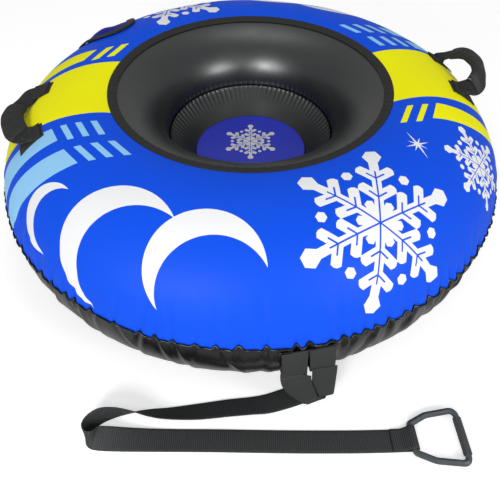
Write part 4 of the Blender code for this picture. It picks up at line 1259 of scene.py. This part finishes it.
def build_wrap(start):
    """The strap's end: two layers sewn together and folded round the pull handle's bar."""
    heading = math.radians(WRAP_HEADING)
    forward = Vector((math.cos(heading), math.sin(heading), 0.0))
    side = Vector((-forward.y, forward.x, 0.0))
    bar = start + forward * BAR_DISTANCE + UP * (BAR_HEIGHT - start.z)
    radius = BAR_RADIUS + LAYER_GAP + STRAP_THICKNESS / 2
    path = [start + forward * along for along in LOWER_LAYER]
    for step in range(WRAP_STEPS + 1):
        turn = math.radians(-90.0 + WRAP_SWEEP * step / WRAP_STEPS)
        path.append(bar + forward * radius * math.cos(turn) + UP * radius * math.sin(turn))
    upper = start + UP * (STRAP_THICKNESS + LAYER_GAP)
    path += [upper + forward * along + UP * rise for along, rise in UPPER_LAYER]
    path = smooth_route(path, WRAP_ROUTE_STEPS)
    wrap = loft("strap_end_fold", path, [side] * len(path), ribbon_outline(STRAP_WIDTH, STRAP_THICKNESS),
                STRAP_WEBBING)
    stand_for(wrap, "root", "strap_end_wrap")
    return wrap


STRAP, STRAP_CENTRES, STRAP_LENGTH = build_strap()
WRAP = build_wrap(STRAP_CENTRES[-1])


# Grab handles


def oval(width, height, count, power=2.6):
    """A flattened oval outline, fuller than an ellipse."""
    points = []
    for step in range(count):
        turn = 2.0 * math.pi * step / count
        across = math.copysign(abs(math.cos(turn)) ** (2.0 / power), math.cos(turn))
        up = math.copysign(abs(math.sin(turn)) ** (2.0 / power), math.sin(turn))
        points.append((across * width / 2, up * height / 2))
    return points


def handle_frame(side):
    """Axes at a handle's hinge: X along it, Y outwards, Z up. Also half its span in degrees."""
    end_radius, hinge_up = section(HANDLE_ANGLE, HANDLE_LIFT)
    turn = math.radians(HANDLE_TURNS[side])
    radial = Vector((math.cos(turn), math.sin(turn), 0.0))
    along = Vector((radial.y, -radial.x, 0.0))
    axes = Matrix((along, radial, UP)).transposed().to_4x4()
    half_turn = math.asin(HANDLE_SPAN / 2 / float(end_radius))
    axes.translation = radial * float(end_radius) * math.cos(half_turn) + UP * float(hinge_up)
    return axes, math.degrees(half_turn)


def sewn_root(side, axes, half_turn, end):
    """Places of the webbing on its patch, from the hinge uphill, in the hinge's axes."""
    back = axes.inverted()
    name = "front" if end == NEAR_END[side] else "rear"
    turn = HANDLE_TURNS[side] - end * (half_turn + PATCH_SHIFTS[side][name])
    angle = HANDLE_ANGLE - PATCH_DROPS[side][name]
    return [back @ skin(turn, angle + uphill, ROOT_LIFT) for uphill in ROOT_ANGLES]


def handle_rings(side):
    """Centres and width directions of a handle's webbing in the world, and how many rings are on a patch."""
    axes, half_turn = handle_frame(side)
    loop = [Vector((across * HANDLE_SPAN / 2, outward * HANDLE_REACH, up * HANDLE_REACH))
            for across, outward, up in HANDLE_ROUTE_SHARES[side]]
    first = sewn_root(side, axes, half_turn, 1)
    last = sewn_root(side, axes, half_turn, -1)
    centres = smooth_route(first[::-1] + loop + last, HANDLE_STEPS)
    shares = [0.0] * len(first) + HANDLE_LEAN_SHARES[side] + [0.0] * len(last)
    widths = []
    for heading, lean in zip(headings(centres), smooth_numbers(shares, HANDLE_STEPS)):
        flat = Vector((heading.y, -heading.x, 0.0)).normalized()
        tilt = math.radians(HANDLE_LEAN * lean)
        widths.append(flat * math.cos(tilt) - UP * math.sin(tilt))
    turned = axes.to_3x3()
    sewn = HANDLE_STEPS * len(first)
    return [axes @ centre for centre in centres], [turned @ width for width in widths], sewn


def build_sleeve(side, centres, widths):
    """The padded sleeve round the middle of a handle, drawn in at its ends, over its foam."""
    lengths = [0.0]
    for here, beyond in zip(centres, centres[1:]):
        lengths.append(lengths[-1] + (beyond - here).length)
    places = np.linspace(*SLEEVE_SPANS[side], SLEEVE_STEPS + 1) * lengths[-1]
    table = np.array([tuple(centre) + tuple(width) for centre, width in zip(centres, widths)])
    rows = np.stack([np.interp(places, lengths, table[:, column]) for column in range(6)], axis=-1)
    middle = [Vector(row[:3]) for row in rows]
    across = [Vector(row[3:]) for row in rows]
    scale = []
    for step in range(SLEEVE_STEPS + 1):
        from_end = min(step, SLEEVE_STEPS - step) / SLEEVE_STEPS
        fill = min(1.0, from_end / SLEEVE_END_SHARE) ** 0.5
        wide, high = (size + (1.0 - size) * fill for size in SLEEVE_END_SIZE)
        wave = 1.0 + 0.05 * math.sin(step * 0.55) + 0.03 * math.sin(step * 0.31 + 1.0)
        scale.append((wide, high * wave))
    sleeve = loft(side + "_padded_sleeve", middle, across, oval(SLEEVE_WIDTH, SLEEVE_HEIGHT, SLEEVE_SIDES),
                  SLEEVE_CLOTH, scale)
    stand_for(sleeve, side + "_handle", side + "_handle_sleeve")
    kept = slice(FOAM_TRIM, -FOAM_TRIM)
    inner = [(wide * FOAM_SIZE[0], high * FOAM_SIZE[1]) for wide, high in scale[kept]]
    core = oval(SLEEVE_WIDTH, SLEEVE_HEIGHT, FOAM_SIDES)
    foam = loft(side + "_foam_core", middle[kept], across[kept], core, FOAM, inner)
    stand_for(foam, side + "_handle", side + "_handle_foam")


def build_patch(side, end, turn):
    """A sewn patch of webbing under one end of a handle."""
    half_width = HANDLE_WEBBING_WIDTH / 2
    half_turn = math.degrees(half_width / float(section(HANDLE_ANGLE)[0]))
    middle = HANDLE_ANGLE - PATCH_DROPS[side][end]
    pace = metres_per_degree(HANDLE_ANGLE)
    points = []
    places = []
    for across, lift in PATCH_PROFILE:
        for step in range(PATCH_STEPS + 1):
            uphill = PATCH_LENGTH_ANGLE * (step / PATCH_STEPS - 0.5)
            from_end = min(step, PATCH_STEPS - step, len(PATCH_END_HEIGHTS) - 1)
            height = min(lift, PATCH_END_HEIGHTS[from_end])
            points.append(tuple(skin(turn + across * half_turn, middle + uphill, height)))
            places.append((uphill * pace, across * half_width, 0.0))
    faces = grid_faces(len(PATCH_PROFILE), PATCH_STEPS + 1)
    patch = add_mesh(f"{side}_{end}_sewn_patch", points, faces, PATCH_WEBBING,
                     {"weave_place": places}, sharp=50)
    # The CAD's node names on the left run the other way
    node = end if side == "right" else {"front": "rear", "rear": "front"}[end]
    stand_for(patch, "root", f"{side}_handle_{node}_patch")


def build_handle(side):
    """One grab handle: webbing sewn to two patches, and a padded sleeve."""
    centres, widths, sewn = handle_rings(side)
    band = ribbon_outline(HANDLE_WEBBING_WIDTH, WEBBING_THICKNESS)
    webbing_loop = loft(side + "_grab_webbing", centres, widths, band, HANDLE_WEBBING)
    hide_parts(side + "_handle_strap")
    axes, half_turn = handle_frame(side)
    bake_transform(webbing_loop)
    build_sleeve(side, centres[sewn:-sewn], widths[sewn:-sewn])
    for end, way in (("front", -NEAR_END[side]), ("rear", NEAR_END[side])):
        build_patch(side, end, HANDLE_TURNS[side] + way * (half_turn + PATCH_SHIFTS[side][end]))


# Valve flap


FLAP_PACE = metres_per_degree(VALVE_ANGLE)
FLAP_FOOT = VALVE_ANGLE - FLAP_BELOW_VALVE / FLAP_PACE


def flap_place(across, uphill):
    """Azimuth and section angle of a place on the flap, across and uphill as shares of its size."""
    turn = FLAP_TURN + math.degrees(across * FLAP_WIDTH / 2 / float(section(FLAP_FOOT)[0]))
    return turn, FLAP_FOOT + FLAP_HEIGHT * uphill / FLAP_PACE


def flap_shape(reach, turn):
    """Across and uphill shares on the flap's rounded half-moon."""
    across = math.copysign(abs(math.cos(turn)) ** FLAP_SQUARENESS, math.cos(turn))
    return reach * across, reach * abs(math.sin(turn)) ** FLAP_SQUARENESS


def flap_rise(reach, uphill, turn, from_valve):
    """How far the flap stands off the cover: a low dome, a bump over the valve's cap and soft dents."""
    dome = (1.0 - reach ** 2) * min(1.0, max(uphill, 0.0) / FLAP_SEWN_SHARE)
    dent = FLAP_DENT * math.sin(turn * 7.0) * reach * (1.0 - reach)
    over_cap = FLAP_BUMP * math.exp(-(from_valve / FLAP_BUMP_RADIUS) ** 3)
    return FLAP_CLEARANCE + FLAP_BULGE * dome + over_cap + dent


def build_flap():
    """The half-moon of printed cloth over the valve, coloured a plain darker blue as painted shade, and the
    tape round its free edge.
    """
    valve = skin(VALVE_TURN, VALVE_ANGLE)
    edge_share = 1.0 - FLAP_BINDING_WIDTH * 0.6 / FLAP_HEIGHT
    arc = [math.pi * spoke / FLAP_SPOKES for spoke in range(FLAP_SPOKES + 1)]
    points = []
    for ring in range(FLAP_RINGS + 1):
        reach = ring / FLAP_RINGS
        for turn in arc:
            across, uphill = flap_shape(edge_share * reach, turn)
            place = flap_place(across, uphill)
            from_valve = (skin(*place) - valve).length
            points.append(tuple(skin(*place, flap_rise(reach, uphill, turn, from_valve) + FLAP_CLEARANCE)))
    faces = grid_faces(FLAP_RINGS + 1, FLAP_SPOKES + 1)
    cloth = add_mesh("flap_cloth", points, faces, SHADED_FLAP_CLOTH)
    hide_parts("valve_flap")

    centres = []
    widths = []
    for turn in arc:
        sewn = 1.0 - min(1.0, math.sin(turn) / FLAP_SEWN_SHARE)
        lift = (FLAP_CLEARANCE + FLAP_BINDING_THICKNESS / 2) * (1.0 - sewn) - FLAP_CORNER_SINK * sewn
        inner, outer = (skin(*flap_place(*flap_shape(reach, turn)), lift)
                        for reach in (FLAP_BINDING_INNER_SHARE, 1.0))
        width = (outer - inner).normalized()
        widths.append(width)
        centres.append(outer - width * FLAP_BINDING_WIDTH / 2)
    tape = loft("flap_tape", centres, widths, ribbon_outline(FLAP_BINDING_WIDTH, FLAP_BINDING_THICKNESS, 5),
                TAPE)
    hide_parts("flap_binding")
    # The cloth would bend above a line through its two sewn corners; these two points up its middle are
    # worked out but not used
    hinge = skin(*flap_place(0.0, FLAP_BEND_START), FLAP_CLEARANCE)
    beyond = skin(*flap_place(0.0, FLAP_BEND_END), FLAP_CLEARANCE)
    for piece in (cloth, tape):
        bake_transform(piece)


# Tow loop and knot


def tow_point(along, height, reach):
    """A point at the tow loop: along the seam, up, and out from the ring's middle."""
    turn = math.radians(TOW_TURN)
    outward = Vector((math.cos(turn), math.sin(turn), 0.0))
    sideways = Vector((-outward.y, outward.x, 0.0))
    return outward * reach + sideways * along + UP * height


def build_tow_loop():
    """The loop's two hanging legs, the tape that holds them and the knot that hangs from them."""
    sideways = tow_point(1.0, 0.0, 0.0)
    band = ribbon_outline(LOOP_WIDTH, WEBBING_THICKNESS)
    top = LOOP_SIDE[0][1]
    length = top - min(height for _, height in LOOP_SIDE)
    shares = [(top - height) / length for _, height in LOOP_SIDE]
    for name, (along, rise, lean, drift) in zip(("tow_leg_left", "tow_leg_right"), LOOP_LEGS):
        side_view = [tow_point(along + drift * share, height + rise * share, reach)
                     for share, (reach, height) in zip(shares, LOOP_SIDE)]
        leans = smooth_numbers([lean * share for share in shares], LOOP_STEPS)
        widths = [(sideways + UP * tilt).normalized() for tilt in leans]
        leg = loft(name, smooth_route(side_view, LOOP_STEPS), widths, band, HANDLE_WEBBING)
        stand_for(leg, "root", "tow_loop")
    for name, rings in KNOT_BANDS.items():
        places = smooth_route([ring[:3] for ring in rings], LOOP_STEPS)
        spans, rises = (smooth_numbers([ring[column] for ring in rings], LOOP_STEPS) for column in (3, 4))
        scale = [(span / LOOP_WIDTH, 1.0) for span in spans]
        centres = [tow_point(*place) for place in places]
        widths = [(sideways + UP * rise).normalized() for rise in rises]
        piece = loft(name, centres, widths, band, HANDLE_WEBBING, scale)
        stand_for(piece, "root", "tow_hitch")
    turns = np.linspace(TOW_TURN - TAB_HALF_TURN, TOW_TURN + TAB_HALF_TURN, 13)
    centres = [skin(turn, TAB_ANGLE, TAB_LIFT) for turn in turns]
    outline = ribbon_outline(TAB_WIDTH, TAB_THICKNESS, 5)
    tab = loft("tow_loop_tape", centres, [UP] * len(centres), outline, SEAM_TAPE)
    stand_for(tab, "root", "tow_loop_tab")


for handle_side in ("right", "left"):
    build_handle(handle_side)
build_flap()
build_tow_loop()


# Finishes for the CAD pieces that stay


for node_name, finish in (
        ("pull_handle_frame", ROD_PLASTIC), ("pull_handle_grip", GRIP_RUBBER),
        ("valve_base", VALVE_PLASTIC), ("valve_insert", VALVE_PLASTIC), ("valve_diaphragm", VALVE_RUBBER),
        ("valve_cap", VALVE_PLASTIC), ("rim_elastic", VALVE_RUBBER), ("bladder_lower", BOWL_VINYL)):
    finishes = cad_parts[node_name].data.materials
    finishes.clear()
    finishes.append(finish)


# Stage


def add_lamp(name, place, target, size, power):
    """A square soft light aimed at a point."""
    data = bpy.data.lights.new(name, "AREA")
    data.size = size
    data.energy = power
    lamp = bpy.data.objects.new(name, data)
    bpy.context.scene.collection.objects.link(lamp)
    lamp.location = place
    lamp.rotation_euler = (Vector(target) - Vector(place)).to_track_quat("-Z", "Y").to_euler()
    return lamp


def build_stage():
    """A pale floor, plain soft light and a white background."""
    corners = [(-1.0, -1.0), (1.0, -1.0), (1.0, 1.0), (-1.0, 1.0)]
    mesh = bpy.data.meshes.new("floor")
    mesh.from_pydata([(x * FLOOR_REACH, y * FLOOR_REACH, 0.0) for x, y in corners], [], [(0, 1, 2, 3)])
    floor = bpy.data.objects.new("floor", mesh)
    bpy.context.scene.collection.objects.link(floor)
    material, tree, shader = new_material("floor_paper")
    set_inputs(shader, Base_Color=FLOOR_COLOUR, Roughness=1.0, Specular_IOR_Level=0.0,
               Emission_Color=(1.0, 1.0, 1.0))
    seen = tree.nodes.new("ShaderNodeLightPath")
    glow = Signal(tree, seen.outputs["Is Camera Ray"]) * FLOOR_GLOW
    tree.links.new(glow.socket, shader.inputs["Emission Strength"])
    mesh.materials.append(material)

    world = bpy.data.worlds.new("studio")
    bpy.context.scene.world = world
    world.use_nodes = True
    tree = world.node_tree
    background = tree.nodes["Background"]
    background.inputs["Color"].default_value = (1.0, 1.0, 1.0, 1.0)
    # The camera sees plain white, and the object is lit by a dimmer sky
    ray = tree.nodes.new("ShaderNodeLightPath")
    shown = tree.nodes.new("ShaderNodeMapRange")
    shown.inputs["To Min"].default_value = SKY_LIGHT
    shown.inputs["To Max"].default_value = 1.0
    tree.links.new(ray.outputs["Is Camera Ray"], shown.inputs["Value"])
    tree.links.new(shown.outputs["Result"], background.inputs["Strength"])

    for lamp in LAMPS:
        add_lamp(*lamp)
    for lamp in SHINES:
        add_lamp(*lamp).visible_diffuse = False
    bpy.context.scene.view_settings.view_transform = "Standard"


build_stage()

bpy.context.view_layer.update()
